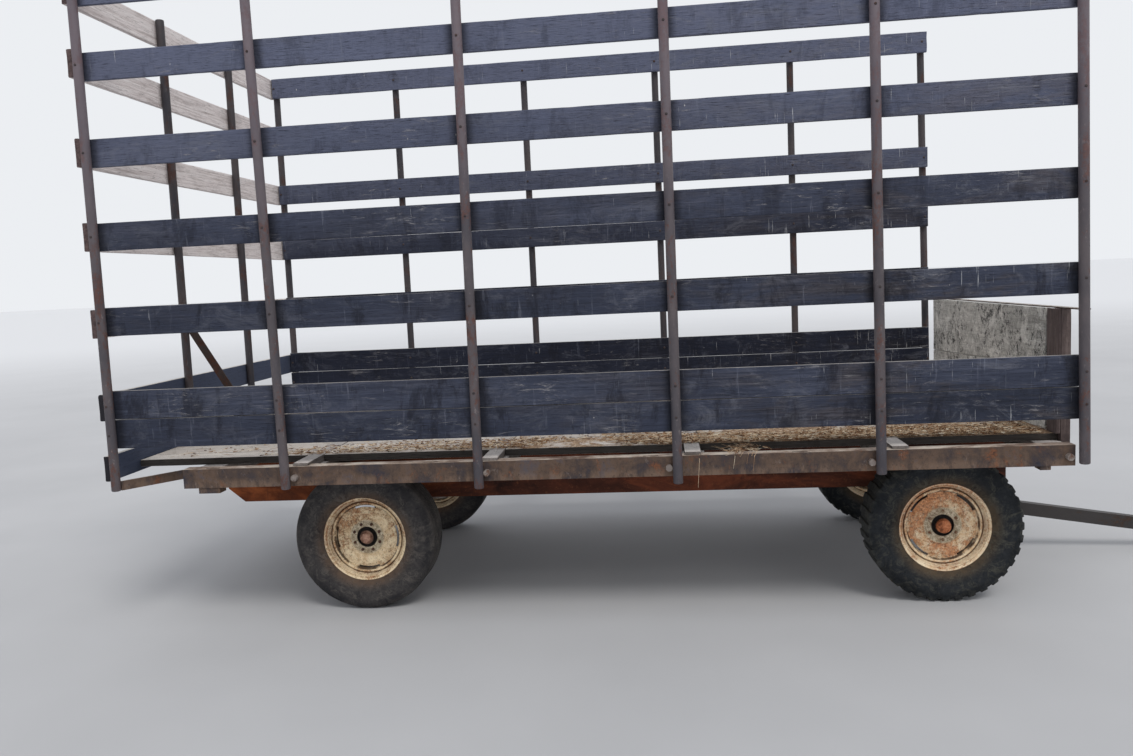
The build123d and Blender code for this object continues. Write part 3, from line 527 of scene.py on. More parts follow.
def deck():
    """Planks of unequal wear between the ribs, two cut short for the rear posts, and the members below."""
    half, across, gap, thick, rear_end = 0.976, 13, 0.003, 0.0375, -0.014
    rear_gap, front_gap, settled, uneven = 0.001, 0.002, 0.0016, (0.003, 0.004)
    member_half, rib_half, clear = 0.065, 0.040, POST_RADIUS + 0.004
    edges = [rear_end]
    for rib in RIBS:
        edges += [rib - rib_half, rib + rib_half]
    edges.append(BED_FRONT)
    pitch = 2 * half / across
    shape = Shape()
    for bay, (rear, front) in enumerate(zip(edges[::2], edges[1::2])):
        for row in range(across):
            seed = bay * 31 + row * 3.3
            sunk = settled * abs(wobble(seed, 2.5, 1))
            low = -half + row * pitch + gap / 2
            high = low + pitch - gap
            begin = rear + rear_gap + (uneven[0] if bay else 0.0) * (1 + abs(wobble(seed, 8.5, 4)))
            if bay == 0 and any(low - clear < y < high + clear for y in REAR_POSTS_Y):
                begin = lean(DECK_TOP) + clear
            stop = front - front_gap - uneven[1] * abs(wobble(seed, 5.5, 9))
            board(shape, (at(begin), 0, DECK_TOP - sunk), AHEAD, LEFT, UP, stop - begin, low, high, thick,
                  seed, 1.1, 0.08)
    shape.made("planks", "deck_timber", ["deck_planks"])
    reach, lap = BED_HALF - 0.075, BED_HALF - 0.015
    # Layers of a member with a rib: half length, half width, lower and upper edge, seed, chipping
    layers = ((reach, member_half, 0.787, 0.862, 90, 1.0), (reach, rib_half, 0.858, 0.887, 130, 1.0),
              (lap, rib_half, 0.8845, 0.8995, 150, 0.5))
    shape = Shape()
    for index, x in enumerate(RIBS + END_MEMBERS):
        for long, wide, low, high, seed, chip in layers if x in RIBS else layers[:1]:
            board(shape, (at(x - wide), -long, 0), LEFT, UP, BACK, 2 * long, low, high, 2 * wide,
                  seed + index * 3, chip)
    shape.made("bearers", "deck_timber", ["cross_members"], "cross_timber")


def bulkhead():
    """Two boards with a climbing seam between uprights, an end piece, and a dark painted-shadow strip beside
    them.
    """
    boards_end, end_piece, upright_inner, upright_foot = -0.884, -0.897, 0.920, 0.790
    strip_proud, strip_thick, strip_foot = 0.0035, 0.0033, 0.905
    strip_length, strip_edges = 0.612, (-0.917, -0.868)
    # Boards: heights of the edges at the right end and at the left end, seed
    boards = ((DECK_TOP, 1.227, DECK_TOP, 1.160, 11.5), (1.230, BULKHEAD_TOP, 1.163, BULKHEAD_TOP, 15.5))
    shape = Shape()
    for low, high, far_low, far_high, seed in boards:
        board(shape, (at(BED_FRONT), boards_end, 0), LEFT, UP, AHEAD, BULKHEAD_HALF - boards_end, low, high,
              BOARD_THICK, seed, 1.4, 0.05, far_low, far_high)
    shape.made("front_boards", "bulkhead_timber", ["bulkhead_boards"])
    shape = Shape()
    board(shape, (at(BED_FRONT), 0, DECK_TOP), UP, LEFT, AHEAD, BULKHEAD_TOP - DECK_TOP,
          -BULKHEAD_HALF, end_piece, BOARD_THICK, 23.5, 1.2)
    for side in SIDES.values():
        low, high = sorted((side * upright_inner, side * BULKHEAD_HALF))
        board(shape, (at(BED_FRONT + UPRIGHT_THICK), 0, upright_foot), UP, LEFT, AHEAD,
              BULKHEAD_TOP - upright_foot, low, high, UPRIGHT_THICK, 19 + side, 1.2)
    shape.made("front_uprights", "bulkhead_timber", ["bulkhead_uprights"], "upright_timber")
    # painted shadow: a dark sheet behind the gap between the boards and the end piece, so that the gap shows
    # as shade
    shape = Shape()
    board(shape, (at(BED_FRONT + strip_proud), 0, strip_foot), UP, LEFT, AHEAD, strip_length, *strip_edges,
          strip_thick, 27.5, 0.2)
    shape.made("front_strip", "strap_steel", look="bolt_steel")


def smoothed(points):
    """Corners of an open profile cut off evenly, twice, ends kept."""
    for _ in range(2):
        cut = [points[0]]
        for (x0, r0), (x1, r1) in zip(points, points[1:]):
            cut.append((x0 * 0.75 + x1 * 0.25, r0 * 0.75 + r1 * 0.25))
            cut.append((x0 * 0.25 + x1 * 0.75, r0 * 0.25 + r1 * 0.75))
        cut.append(points[-1])
        points = cut
    return points


def facing(points, side):
    """Profile turned to face one side."""
    return [(side * offset, radius) for offset, radius in points]


def rear_tyre(shape):
    """Tyre worn nearly bald, with four shallow straight grooves."""
    edge, radius, grooves, depth, half = 0.072, 0.3998, (0.048, 0.016, -0.016, -0.048), 0.004, 0.0035
    side = smoothed(REAR_SIDE)
    tread = [(edge, radius)]
    for groove in grooves:
        tread += [(groove + half, radius), (groove + half * 0.7, radius - depth),
                  (groove - half * 0.7, radius - depth), (groove - half, radius)]
    tread.append((-edge, radius))
    shape.turned(side + tread + facing(side[::-1], -1) + BORE, 120, closed=True)


def front_tyre(shape, outboard, seed):
    """Traction tyre: bulging carcass and worn lugs bent in a shallow V."""
    side = smoothed(FRONT_SIDE)
    tread = [(0.03, 0.3905), (-0.03, 0.3905)]
    shape.turned(side + tread + facing(side[::-1], -1) + BORE, 144, closed=True)
    foot, slope, brow, tread_radius = 0.0225, 0.0195, 0.0165, 0.39
    most_bend, half_width, wear = 0.016, 0.107, 0.0008
    for lug in range(LUGS):
        middle = math.radians(-90 + 360 / LUGS * lug)
        rings = []
        for offset, root, tip in LUG + [(-offset, root, tip) for offset, root, tip in reversed(LUG)]:
            bend = most_bend * (1 - abs(offset) / half_width) * outboard
            rise = tip - wear * abs(wobble(lug * 1.7, offset * 30, seed))
            climb = [(root - 0.004, -foot), (root + 0.001, -foot), (rise - 0.003, -slope), (rise, -brow)]
            ring = []
            for radius, half in climb + [(radius, -half) for radius, half in reversed(climb)]:
                angle = middle + bend + half / tread_radius
                ring.append((radius * math.cos(angle), offset, radius * math.sin(angle)))
            rings.append(ring)
        shape.tube(rings)


def annulus(shape, front, back, radii, segments, holes):
    """Pressed plate between two profiles of offset over radius, open where holes says so."""
    grid = [[[(radius * cos, face[row], radius * sin) for cos, sin in around(segments)]
             for row, radius in enumerate(radii)] for face in (front, back)]
    starts = []
    for face in grid:
        starts.append(len(shape.points))
        for ring in face:
            shape.points.extend(ring)
    rows = len(radii) - 1

    def solid(row, k):
        return 0 <= row < rows and not holes(row, k % segments)

    for row in range(rows):
        for k in range(segments):
            if not solid(row, k):
                continue
            a, b = row * segments + k, row * segments + (k + 1) % segments
            c, d = a + segments, b + segments
            f, g = starts
            shape.faces += [(f + a, f + b, f + d, f + c), (g + a, g + c, g + d, g + b)]
            edges = ((row - 1, k, (f + a, g + a, g + b, f + b)), (row + 1, k, (f + c, f + d, g + d, g + c)),
                     (row, k - 1, (f + a, f + c, g + c, g + a)), (row, k + 1, (f + b, g + b, g + d, f + d)))
            shape.faces += [face for next_row, next_k, face in edges if not solid(next_row, next_k)]


def rim(shape, outboard, turn):
    """Rim with a rolled lip, a groove and ledge before the well, and a dished disc with four hand holes."""
    inside = smoothed(LIP) + smoothed(LEDGE)
    shape.turned(facing(BARREL + facing(inside, -1) + inside[::-1], outboard), 96, closed=True)

    def holes(row, k):
        turned_by = (k + 0.5) * 360 / DISC_SEGMENTS - turn
        return row in HOLE_ROWS and abs((turned_by + 45) % 90 - 45) < HOLE_HALF

    radii, front, back = zip(*DISC)
    annulus(shape, [outboard * offset for offset in front], [outboard * offset for offset in back], radii,
            DISC_SEGMENTS, holes)


def hub(shape, outboard, bolts, cap):
    """Hub barrel and flange, its cap, and small wheel nuts."""
    bolt_circle, nut_seat, nut, stud = 0.077, 0.0505, (0.0088, 0.0065), (0.0046, 0.0100)
    dome = [(0.0605, cap - 0.0010), (0.066, cap - 0.0005), (0.080, cap - 0.0015), (0.0865, cap - 0.0035),
            (0.0900, cap - 0.0085), (0.0910, cap * 0.55), (0.0900, cap * 0.35), (0.0897, 0.0040)]
    shape.turned(facing(HUB, outboard), 40, closed=True)
    shape.turned(facing(dome, outboard), 40)
    for k in range(bolts):
        angle = 2 * math.pi * (k + 0.5) / bolts
        place = (bolt_circle * math.cos(angle), outboard * nut_seat, bolt_circle * math.sin(angle))
        knob(shape, place, (0, outboard, 0), *nut, 6, flat=True)
        knob(shape, place, (0, outboard, 0), *stud)


def wheels():
    """Tyre, rim and hub of each wheel."""
    for name, outboard in SIDES.items():
        for end, (distance, tyre_slot, rim_slot, turn, bolts, cap) in AXLES.items():
            body, ending = f"{end}_wheel_{name}", f"{end}_{name}"
            place = (at(distance), outboard * WHEEL_Y, AXLE_Z)
            tyre, plate, middle = Shape(), Shape(), Shape()
            if end == "rear":
                rear_tyre(tyre)
            else:
                front_tyre(tyre, outboard, 5 + outboard)
            tyre.made(f"{end}_tyre_{name}", tyre_slot, ["tyre_" + ending], tyre_slot, body, place)
            rim(plate, outboard, turn)
            plate.made(f"{end}_rim_{name}", rim_slot, ["rim_" + ending], rim_slot, body, place, 50)
            hub(middle, outboard, bolts, cap)
            middle.made(f"{end}_hub_{name}", "hub_steel", ["hub_" + ending], "hub_" + end, body, place)


def board_colour(s, stretch, dark, mid, light):
    """Grain of weathered boards, different on each of them."""
    s.shift(s.times(s.island, 13.0), s.times(s.island, 7.0))
    grain = s.noise(3.0, 8, 0.65, 0.5, stretch)
    fine = s.noise(15.0, 6, 0.65, 0.2, stretch)
    broad = s.noise(1.3, 5, 0.6, 0.3, (0.6, 0.6, 2.2))
    tone = s.plus(s.blend(grain, 0.45, broad, 0.45), s.times(s.island, 0.12))
    s.colour = s.ramp(tone, (0.32, dark), (0.52, mid), (0.70, light))
    return grain, fine


def near_posts(s, reach):
    """One beside a side post, zero away from it."""
    nearest = None
    for foot, top, _ in POSTS["right"]:
        gap = s.calc("ABSOLUTE", s.calc("SUBTRACT", s.x, at((foot + top) / 2)))
        nearest = gap if nearest is None else s.calc("MINIMUM", nearest, gap)
    return s.step(nearest, POST_RADIUS, reach, 1.0, 0.0)


def rack_paint():
    """Blue-black paint, browner to the front, with drips, scratches, scuffs, and painted light and shade."""
    s = Surface("rack_board", 0.2)
    x, z = s.x, s.z
    outward = s.times(s.y, s.face_y)
    grain, fine = board_colour(s, GRAIN_X, (34, 38, 50), (55, 60, 76), (84, 89, 106))
    brown = s.step(s.noise(2.6, 7, 0.72, 0.5, (0.6, 1, 2.2)), 0.46, 0.62)
    browns = s.ramp(grain, (0.36, (34, 31, 34)), (0.64, (90, 84, 84)))
    s.lay(browns, brown, s.step(x, -1.6, 1.9, 0.15, 0.80))
    # painted light: the boards turn paler and bluish towards the top, where the hazy sky brightens them
    haze_light = s.step(z, 1.80, 3.10, 0.0, 0.50)
    s.lay((126, 132, 158), haze_light, s.step(fine, 0.34, 0.5, 0.5, 1.0))
    shaded = s.times(s.step(outward, -0.3, -0.9), s.step(z, 1.55, 2.85, 1.0, 0.10))
    s.lay((11, 16, 33), shaded, 0.68)
    smear = s.step(s.noise(4.5, 9, 0.82, 0.9, (0.8, 1, 1.8)), 0.50, 0.66)
    s.lay((110, 112, 122), smear, s.step(x, -1.8, 1.8, 0.30, 0.52))
    stain = s.step(s.noise(2.3, 7, 0.76, 0.4, (2.2, 1, 0.8)), 0.50, 0.62)
    s.lay((24, 25, 34), stain, s.step(z, 1.5, 2.6, 0.62, 0.30))
    drips = s.step(s.noise(4.0, 5, 0.75, 0.2, (8.5, 1, 0.55)), 0.59, 0.71)
    s.lay((122, 126, 140), drips, 0.42)
    streak = s.noise(9.0, 4, 0.6, 0.0, (13, 1, 0.45))
    lines = s.step(s.plus(streak, s.step(x, -1.2, 2.0, 0.0, 0.045)), 0.695, 0.725)
    s.lay((190, 192, 196), lines, 0.7)
    scuff = s.step(s.noise(10.0, 9, 0.82, 1.2, (0.6, 2, 3.6)), 0.54, 0.66)
    patch = s.step(s.noise(2.2, 4, 0.6, 0.6), s.step(x, -2.0, 1.8, 0.52, 0.44), 0.62)
    s.lay((146, 144, 146), s.times(scuff, patch), 0.8)
    spots = s.step(s.cells(26.0, (1.4, 1, 0.7)), 0.05, 0.16, 1.0, 0.0)
    rare = s.step(s.noise(11.0, 3, 0.6), 0.66, 0.71)
    s.lay((196, 194, 194), s.times(spots, rare), 0.85)
    s.lay((18, 18, 24), s.step(fine, 0.355, 0.42, 1.0, 0.0), 0.75)
    # painted shadow: outer faces darkened beside each post, as the posts' shadow on the boards
    beside = s.times(near_posts(s, 0.075), s.step(outward, 0.3, 0.9))
    s.lay((20, 20, 26), beside, 0.65)
    # painted light: upward faces pale, as the top edges catch the light from above
    pale = s.ramp(grain, (0.38, (84, 80, 78)), (0.62, (182, 178, 174)))
    s.lay(pale, s.step(s.face_z, 0.35, 0.9), 0.85)
    s.finish(s.step(grain, 0.3, 0.7, 0.66, 0.9), s.blend(grain, 0.7, fine, 0.6), 0.006)


def rear_paint():
    """Dark outside like the slats, bare and greyish pink inside, dark again in the two lowest boards."""
    s = Surface("rear_board", 0.2)
    low, high = 1.34, 1.42            # between the two lowest boards and the next one
    inward, upper = s.step(s.face_x, 0.2, 0.6), s.step(s.z, low, high)
    grain, fine = board_colour(s, (30, 1.0, 30), (36, 38, 46), (60, 62, 72), (92, 93, 102))
    bare = s.ramp(grain, (0.32, (190, 178, 175)), (0.5, (228, 219, 217)), (0.68, (240, 234, 232)))
    stain = s.step(s.noise(5.0, 7, 0.7, 0.5, (1, 0.6, 2)), 0.5, 0.68)
    bare = s.mix(s.times(stain, 0.4), bare, (156, 144, 141))
    # painted light: the undersides of the upper boards take the bare inside colour too, as a light line along
    # their lower edges
    inside = s.calc("MAXIMUM", inward, s.step(s.face_z, -0.4, -0.8))
    s.lay(bare, inside, upper)
    # painted light: the inner faces of the two lowest boards tinted a lighter blue, as if lit by the sky
    s.lay((78, 88, 112), inward, s.step(s.z, low, high, 0.6, 0.0))
    s.lay((44, 37, 36), s.step(fine, 0.345, 0.41, 0.8, 0.0))
    brown = s.ramp(s.noise(60.0, 4, 0.6), (0.3, (64, 52, 52)), (0.7, (118, 98, 95)))
    brown = s.mix(upper, (38, 36, 40), brown)
    s.lay(brown, s.step(s.calc("ABSOLUTE", s.face_y), 0.7, 0.95), 0.85)
    # painted light: upward faces pale, as the top edges catch the light from above
    s.lay((210, 205, 198), s.step(s.face_z, 0.35, 0.9), 0.85)
    s.finish(0.86, s.blend(grain, 0.7, fine, 0.6), 0.006)


def settled_hay(s, fine, up):
    """Painted shade on plank sides, and chaff that lies thicker to the front and along the near edge."""
    # painted shade: the planks' side faces near black, as they lie in shade
    side_shade = s.step(s.calc("ABSOLUTE", s.face_y), 0.5, 0.8)
    s.lay(s.ramp(fine, (0.44, (9, 7, 7)), (0.66, (44, 34, 29))), side_shade, 0.92)
    forward = s.step(s.x, -2.4, 1.0, -0.06, 0.15)
    near = s.step(s.y, -0.50, -0.95, 0.0, 0.05)
    cover = s.step(s.plus(s.noise(6.0, 9, 0.78, 0.6), s.plus(forward, near)), 0.54, 0.62)
    hay = s.ramp(s.noise(55.0, 8, 0.84, 0.6), (0.38, (48, 34, 27)), (0.46, (132, 98, 70)),
                 (0.54, (190, 160, 128)), (0.62, (236, 226, 206)))
    s.lay(hay, s.times(cover, up), 0.95)


def timber_paint(name, stretch, dark, mid, light, top=None, speckled=False, littered=False):
    """Bare weathered timber, which may be paler on top as painted light, speckled, or littered with chaff."""
    s = Surface(name, 0.2)
    grain, fine = board_colour(s, stretch, dark, mid, light)
    s.lay(dark, s.step(s.noise(5.0, 8, 0.72, 0.4), 0.52, 0.68, 0, 0.6))
    if speckled:
        blotch = s.step(s.noise(3.2, 9, 0.82, 0.5), 0.48, 0.56)
        flecks = s.step(s.noise(22.0, 9, 0.88, 0.4), 0.48, 0.55)
        flecks = s.times(flecks, s.calc("ADD", blotch, 0.35, clamp=True))
        s.lay((50, 50, 50), flecks, 0.95)
        s.lay(light, s.step(s.noise(9.0, 8, 0.78, 0.6), 0.50, 0.60), 0.6)
    cracks = s.step(fine, 0.35, 0.415, 0.25 if speckled else 0.9, 0.0)
    s.lay((38, 33, 31), cracks)
    up = s.step(s.face_z, 0.5, 0.9)
    # painted light: upward faces paler, as the top catches the light from above
    if top:
        s.lay(top, up, s.step(fine, 0.36, 0.44, 0.3, 0.85))
    if littered:
        settled_hay(s, fine, up)
    s.finish(0.88, s.blend(grain, 0.7, fine, 0.6), 0.006)


def steel_paint(name, base, second, rust, amount, scale=9.0, stretch=(1, 1, 1), light=None, lit_top=None,
                haze_light=None):
    """Painted or dirty steel with rust that breaks through in patches and pits."""
    s = Surface(name, 0.35)
    fine = s.noise(scale * 9, 6, 0.72)
    mixed = s.blend(s.noise(scale, 9, 0.7, 0.5, stretch), 0.72, fine, 0.28)
    s.colour = s.ramp(s.noise(scale * 0.6, 6, 0.65, 0.3, stretch), (0.35, base), (0.65, second))
    edge = 0.62 - 0.24 * amount
    spread = s.step(mixed, edge, edge + 0.10)
    dim = tuple(value * 0.4 for value in shade(rust)[:3]) + (1,)
    rusty = s.ramp(fine, (0.32, dim), (0.68, rust))
    s.lay(rusty, spread, 0.85)
    if light:
        s.lay(light, s.step(s.noise(scale * 5, 7, 0.78, 0.4, stretch), 0.58, 0.70), 0.6)
    # painted light: the posts turn paler towards the top, where the hazy sky brightens them
    if haze_light:
        s.lay(haze_light, s.step(s.z, 1.7, 3.1, 0.0, 0.55))
    if lit_top:
        # painted light: top faces take the lit top tint, in worn patches
        worn = s.mix(s.step(fine, 0.42, 0.62), lit_top, base)
        s.lay(worn, s.step(s.face_z, 0.5, 0.95), 0.85)
    s.finish(s.step(spread, 0, 1, 0.55, 0.9), s.blend(spread, -0.4, fine, 0.6), 0.003)


def rail_paint():
    """Brown scale, blue-grey paint with runs down the web, tan lower edge, a worn top with painted light."""
    s = Surface("rail_steel", 0.3)
    runs = s.noise(12.0, 7, 0.74, 0.2, (0.9, 1, 0.35))
    fine = s.noise(60.0, 8, 0.8)
    mixed = s.blend(s.noise(7.0, 8, 0.72, 0.4, (0.7, 1, 0.8)), 0.7, runs, 0.3)
    s.colour = s.ramp(mixed, (0.38, (52, 51, 60)), (0.47, (74, 62, 57)), (0.54, (94, 76, 64)),
                      (0.63, (80, 76, 82)))
    rust = s.step(s.noise(10.0, 9, 0.78, 0.3, (1.0, 1, 0.7)), 0.55, 0.66)
    s.lay(s.ramp(fine, (0.40, (70, 40, 28)), (0.60, (150, 92, 56))), rust, 0.7)
    foot = s.times(s.step(s.z, 0.838, 0.796), s.step(runs, 0.42, 0.58))
    s.lay((124, 103, 88), foot, 0.5)
    scars = s.step(s.noise(26.0, 8, 0.8, 0.6, (1, 1, 0.5)), 0.58, 0.68)
    s.lay((136, 124, 118), scars, 0.5)
    s.lay((38, 31, 31), s.step(fine, 0.54, 0.64), 0.55)
    # painted light: pale top faces of the flange, worn, and lighter where the top catches the light from
    # above
    worn = s.ramp(s.noise(9.0, 8, 0.78, 0.4, (0.6, 1, 1)), (0.40, (88, 66, 54)),
                  (0.50, (148, 132, 120)), (0.60, (188, 178, 166)))
    s.lay(worn, s.step(s.face_z, 0.5, 0.95), 0.9)
    s.finish(0.82, s.plus(s.times(mixed, 0.3), fine), 0.003)


def sill_paint():
    """Orange rust at the rear, dark red further forwards."""
    s = Surface("sill_steel", 0.3)
    patch = s.noise(5.0, 8, 0.7, 0.6, (0.5, 1, 1.4))
    fine = s.noise(60.0, 6, 0.7)
    orange = s.ramp(patch, (0.34, (60, 30, 20)), (0.5, (112, 56, 28)), (0.66, (162, 88, 46)))
    red = s.ramp(patch, (0.34, (44, 24, 20)), (0.52, (86, 46, 32)), (0.68, (128, 66, 42)))
    s.colour = s.mix(s.step(s.x, -2.4, -1.0), orange, red)
    runs = s.step(s.noise(6.0, 5, 0.7, 0.2, (5, 1, 0.6)), 0.58, 0.72)
    s.lay((40, 30, 28), runs, 0.45)
    s.lay((146, 88, 54), s.step(fine, 0.56, 0.7, 0, 0.45))
    s.finish(0.85, fine, 0.003)


def radial(s):
    """Distance from the wheel's axis, for a piece centred on its wheel."""
    return s.calc("SQRT", s.plus(s.times(s.x, s.x), s.times(s.z, s.z)))


def rim_paint(name, cream, tan, rust, deep, disc_rust, upper_rust):
    """Cream paint over rust: a speckled grey boss, a ringed flange, and rust that spreads from one side."""
    s = Surface(name, 0.3)
    radius = radial(s)
    chance = s.add("ShaderNodeObjectInfo").outputs["Random"]
    s.shift(s.times(chance, 3.0), s.times(chance, 5.0))
    broad = s.noise(9.0, 8, 0.7, 0.5)
    fine = s.noise(85.0, 9, 0.85, 0.3)
    s.colour = s.ramp(s.noise(22.0, 8, 0.8, 0.4), (0.40, tan), (0.56, cream))
    disc = s.step(radius, 0.174, 0.182, 1.0, 0.0)
    boss = s.step(radius, 0.090, 0.102, 1.0, 0.0)
    aslant = s.calc("SUBTRACT", s.times(s.z, 0.8), s.times(s.x, 0.6))
    amount = s.plus(s.blend(broad, 0.45, fine, 0.55),
                    s.times(s.calc("SUBTRACT", disc, boss), disc_rust),
                    s.step(aslant, 0.0, 0.16, -0.015, upper_rust),
                    s.step(radius, 0.190, 0.200, 0.0, 0.018))
    spread = s.step(amount, 0.505, 0.575)
    rusty = s.ramp(s.noise(60.0, 8, 0.84, 0.2), (0.42, deep), (0.52, rust), (0.64, tan))
    s.lay(rusty, spread, 0.85)
    grey = s.ramp(s.noise(70.0, 9, 0.86, 0.2), (0.42, (84, 74, 58)), (0.50, (158, 146, 122)),
                  (0.58, (214, 204, 182)))
    s.lay(grey, boss, 0.75)
    groove = s.calc("MAXIMUM", s.band(radius, 0.1985, 0.2070, 0.002), s.band(radius, 0.2338, 0.245, 0.0008))
    groove = s.calc("MAXIMUM", groove, s.times(s.band(radius, 0.2195, 0.2215, 0.0012), 0.55))
    s.lay((74, 48, 32), groove, s.step(broad, 0.36, 0.52, 0.5, 0.9))
    worn = s.plus(s.band(radius, 0.2085, 0.2175, 0.002), s.band(radius, 0.2275, 0.2325, 0.0015))
    pale = s.ramp(s.noise(30.0, 5, 0.6), (0.4, cream), (0.60, (238, 222, 196)))
    s.lay(pale, worn, s.step(fine, 0.60, 0.48, 0.0, 0.75))
    seams = s.times(s.band(radius, 0.1800, 0.1880, 0.0015), s.step(broad, 0.40, 0.54))
    s.lay((50, 32, 24), seams, 0.85)
    # painted shade: the disc's edge at the hub hole near black, as the recess lies in shade
    s.lay((20, 16, 15), s.step(radius, 0.0570, 0.0600, 1.0, 0.0))
    s.lay(deep, s.step(s.noise(130.0, 6, 0.8), 0.555, 0.62), 0.7)
    s.finish(s.step(spread, 0, 1, 0.5, 0.88), s.blend(spread, -0.5, fine, 0.5), 0.002)


def tyre_paint(name, dark, grey, dust, ring):
    """Rubber, dusty towards the tread and brown beside the rim."""
    s = Surface(name, 0.22)
    radius = radial(s)
    broad = s.noise(6.0, 7, 0.7, 0.6)
    fine = s.noise(70.0, 6, 0.7)
    mixed = s.blend(broad, 0.7, fine, 0.3)
    s.colour = s.ramp(mixed, (0.34, dark), (0.62, grey))
    dusty = s.plus(s.step(radius, 0.238, 0.310, 0.75, 0.0), s.step(radius, 0.372, 0.396, 0.0, 0.25))
    tint = s.mix(s.step(radius, 0.25, 0.34), ring, dust)
    s.lay(tint, dusty, s.step(mixed, 0.36, 0.62, 0.35, 1.0))
    s.lay(dust, s.step(s.noise(16.0, 9, 0.86, 1.0), 0.50, 0.60), 0.42)
    creases = s.step(s.noise(26.0, 7, 0.75, 1.5), 0.56, 0.64)
    s.lay(dark, creases, 0.6)
    smears = s.step(s.noise(8.0, 8, 0.78, 1.0), 0.54, 0.66)
    s.lay(dust, smears, 0.5)
    shoulder = s.band(radius, 0.350, 0.392, 0.014)
    s.lay(dark, shoulder, s.step(broad, 0.38, 0.60, 0.65, 0.25))
    ribs = s.times(s.calc("SINE", s.times(radius, 900.0)), s.band(radius, 0.272, 0.306, 0.003))
    s.finish(0.82, s.blend(fine, 0.6, ribs, 0.12), 0.003)


def hub_paint(name, deep, mid, light, nuts):
    """Dark barrel, greasy and with painted shade of its recess, a rusty cap and wheel nuts as dirty as the
    disc.
    """
    s = Surface(name, 0.3)
    fine = s.noise(90.0, 7, 0.72, 0.4)
    cap = s.ramp(s.noise(26.0, 6, 0.7, 0.5), (0.36, deep), (0.5, mid), (0.64, light))
    cap = s.mix(s.step(fine, 0.54, 0.66, 0, 0.5), cap, deep)
    # grease, and painted shade: the barrel and flange behind the disc near black, as the recess lies in shade
    grease = s.ramp(fine, (0.40, (14, 12, 12)), (0.64, (46, 38, 33)))
    away = s.calc("ABSOLUTE", s.y)
    s.colour = s.mix(s.step(away, 0.0600, 0.0640), grease, cap)
    nut = s.ramp(fine, (0.42, deep), (0.58, nuts))
    s.lay(nut, s.step(radial(s), 0.060, 0.064), s.step(away, 0.0450, 0.0480))
    s.finish(0.78, fine, 0.002)


def hay_paint():
    """Dry stalks, each of its own colour between brown and straw."""
    s = Surface("hay", 0.2)
    s.colour = s.ramp(s.island, (0.0, (46, 32, 25)), (0.30, (130, 92, 62)),
                      (0.65, (196, 166, 132)), (1.0, (238, 228, 206)))
    s.lay((84, 64, 48), s.step(s.noise(40.0, 4), 0.45, 0.65, 0, 0.35))
    s.finish(0.85)


def stalk(shape, start, heading, length, rise, bend, half, droop=0.0):
    """One dry stalk: a three-sided strip with a bend in its middle."""
    start = Vector(start)
    ahead = Vector((math.cos(heading), math.sin(heading), rise))
    aside = Vector((-math.sin(heading), math.cos(heading), 0))
    rings = []
    for share in ((0.0, 1.0) if length < 0.03 else (0.0, 0.45, 1.0)):
        centre = start + ahead * (length * share) + aside * (bend * math.sin(math.pi * share))
        centre.z -= droop * share * share
        wide = half * (1.0 - 0.45 * share)
        ridge = centre + Vector((0, 0, wide * 1.3))
        rings.append([tuple(centre + aside * wide), tuple(centre - aside * wide), tuple(ridge)])
    shape.tube(rings)


def litter():
    """Chaff and hay on the deck, thicker to the front and along the near edge, with wisps over the rail."""
    stalks, wisps = 14000, 170
    rear_end, reach, front_stop = 0.10, 4.68, at(4.82)
    half_width, near_edge, near_strip, rail_edge = 0.985, -0.972, 0.26, -1.205
    dice = random.Random(4)
    shape = Shape()
    for _ in range(stalks):
        share = dice.random() ** 0.48
        x = at(rear_end + reach * share)
        pick = dice.random()
        y = near_edge + near_strip * dice.random() ** 1.5 if pick < 0.6 else dice.uniform(-0.965, 0.965)
        if wobble(x * 1.7, y * 3.1, 0.3) < dice.uniform(-0.10, 0.34) - 0.42 * share:
            continue
        chaff = dice.random() < 0.75
        length = dice.uniform(0.010, 0.029) if chaff else dice.uniform(0.035, 0.12)
        half = dice.uniform(0.0016, 0.0042) if chaff else dice.uniform(0.0007, 0.0016)
        heading = dice.uniform(0, 2 * math.pi)
        tip_x, tip_y = x + length * math.cos(heading), y + length * math.sin(heading)
        if tip_x > front_stop or abs(tip_y) > half_width:
            continue
        level = 0.9012 + dice.uniform(0, 0.006 + 0.008 * share)
        stalk(shape, (x, y, level), heading, length, dice.uniform(-0.03, 0.12),
              dice.uniform(-0.15, 0.15) * length, half)
    for _ in range(wisps):
        x = at(3.285 + 0.045 * dice.gauss(0, 1))
        y = dice.uniform(rail_edge, -half_width)
        over = y < -1.140
        level = (0.8855 if over else 0.875) + dice.uniform(0, 0.022)
        stalk(shape, (x, y, level), dice.gauss(-math.pi / 2, 0.9), dice.uniform(0.02, 0.07),
              dice.uniform(-0.1, 0.45), dice.uniform(-0.012, 0.012), dice.uniform(0.0008, 0.0018),
              dice.uniform(0.0, 0.03) if over else 0.0)
    for x, drop in ((3.235, 0.075), (3.300, 0.052), (3.330, 0.090), (3.060, 0.165)):
        stalk(shape, (at(x), rail_edge, 0.889), -math.pi / 2 - 0.3, 0.045, 0.1, 0.004, 0.0011, drop)
    shape.made("hay_litter", "deck_timber", look="hay")


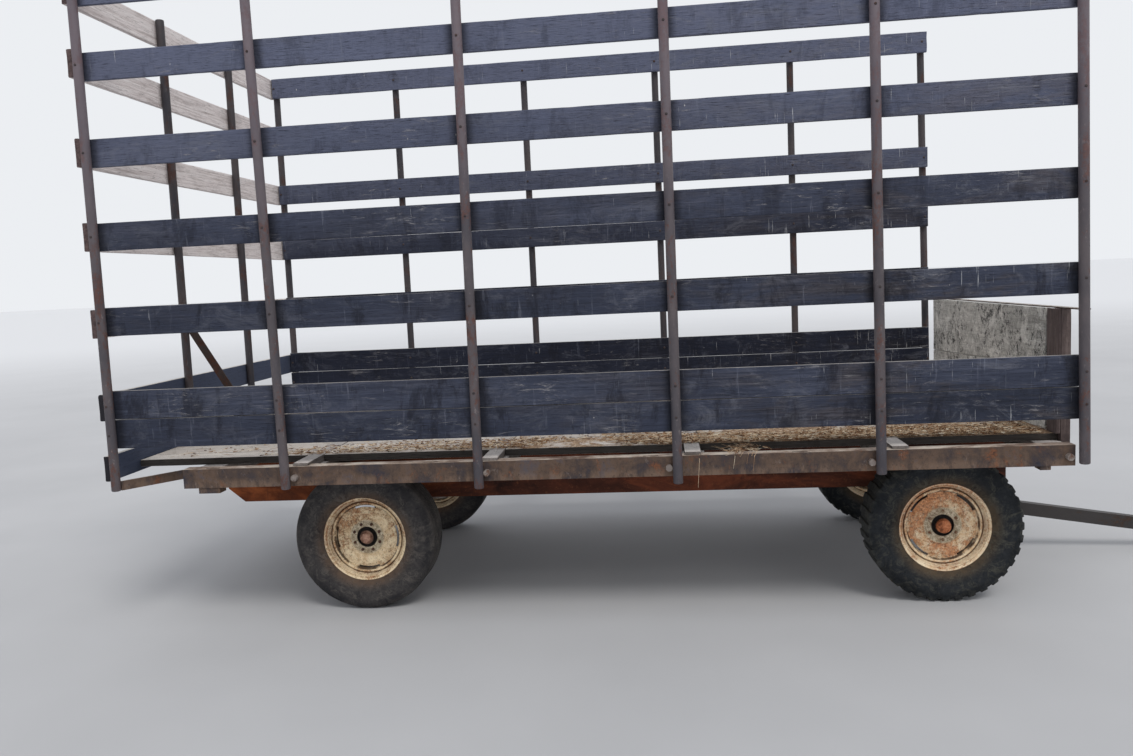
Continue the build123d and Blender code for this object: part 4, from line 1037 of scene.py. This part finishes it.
def paints():
    """Every material of the wagon."""
    rack_paint()
    rear_paint()
    timber_paint("deck_timber", GRAIN_X, (146, 134, 124), (214, 206, 198), (236, 231, 224), littered=True)
    timber_paint("cross_timber", GRAIN_Y, (70, 62, 58), (116, 109, 105), (160, 154, 150),
                 top=(196, 190, 186))
    timber_paint("bulkhead_timber", GRAIN_Y, (150, 148, 143), (206, 204, 198), (234, 232, 226),
                 speckled=True)
    timber_paint("upright_timber", GRAIN_Z, (58, 49, 48), (92, 80, 78), (128, 114, 110))
    steel_paint("post_steel", (66, 64, 70), (94, 86, 88), (108, 72, 62), 0.5, 9, (1, 1, 0.45),
                (146, 136, 134), haze_light=(122, 110, 118))
    # darker copy of the post steel: less rust on the rear posts, and painted shade on the far left posts
    steel_paint("post_dark_and_shaded", (48, 47, 53), (72, 65, 66), (88, 62, 55), 0.45, 9, (1, 1, 0.45),
                (112, 104, 104))
    steel_paint("bolt_steel", (46, 40, 43), (64, 54, 54), (96, 62, 48), 0.4, 30)
    rail_paint()
    steel_paint("strap_steel", (42, 31, 28), (62, 46, 40), (84, 50, 36), 0.6, lit_top=(196, 188, 178))
    sill_paint()
    steel_paint("pin_steel", (146, 137, 131), (104, 94, 90), (112, 74, 54), 0.5, 30)
    steel_paint("gear_steel", (46, 38, 34), (70, 54, 44), (98, 54, 34), 0.5)
    steel_paint("tongue_steel", (46, 44, 45), (62, 58, 57), (76, 58, 48), 0.3, 7, (0.5, 1, 1))
    rim_paint("rim_cream", (238, 218, 182), (208, 178, 138), (168, 108, 66), (80, 50, 34), 0.0, 0.055)
    rim_paint("rim_rusted", (244, 224, 190), (224, 186, 142), (206, 130, 80), (104, 56, 34), 0.060, 0.045)
    tyre_paint("tyre_worn", (32, 32, 36), (72, 69, 68), (106, 100, 94), (98, 78, 62))
    tyre_paint("tyre_lugged", (19, 22, 26), (46, 49, 53), (92, 90, 80), (92, 76, 56))
    hub_paint("hub_front", (110, 60, 36), (190, 116, 76), (220, 154, 112), (156, 140, 114))
    hub_paint("hub_rear", (104, 72, 58), (172, 132, 112), (206, 172, 150), (52, 42, 36))
    hay_paint()
    PAINT["hub_steel"] = PAINT["hub_rear"]


camera()
ground()
sky()
sun()
bpy.context.scene.view_settings.view_transform = "Standard"
paints()
rack()
posts()
deck()
bulkhead()
wheels()
litter()
for entry in frame["record"]["subparts"]:
    mesh = NODES[entry["node"]].data
    mesh.materials.clear()
    mesh.materials.append(PAINT[entry["material_slot"]])
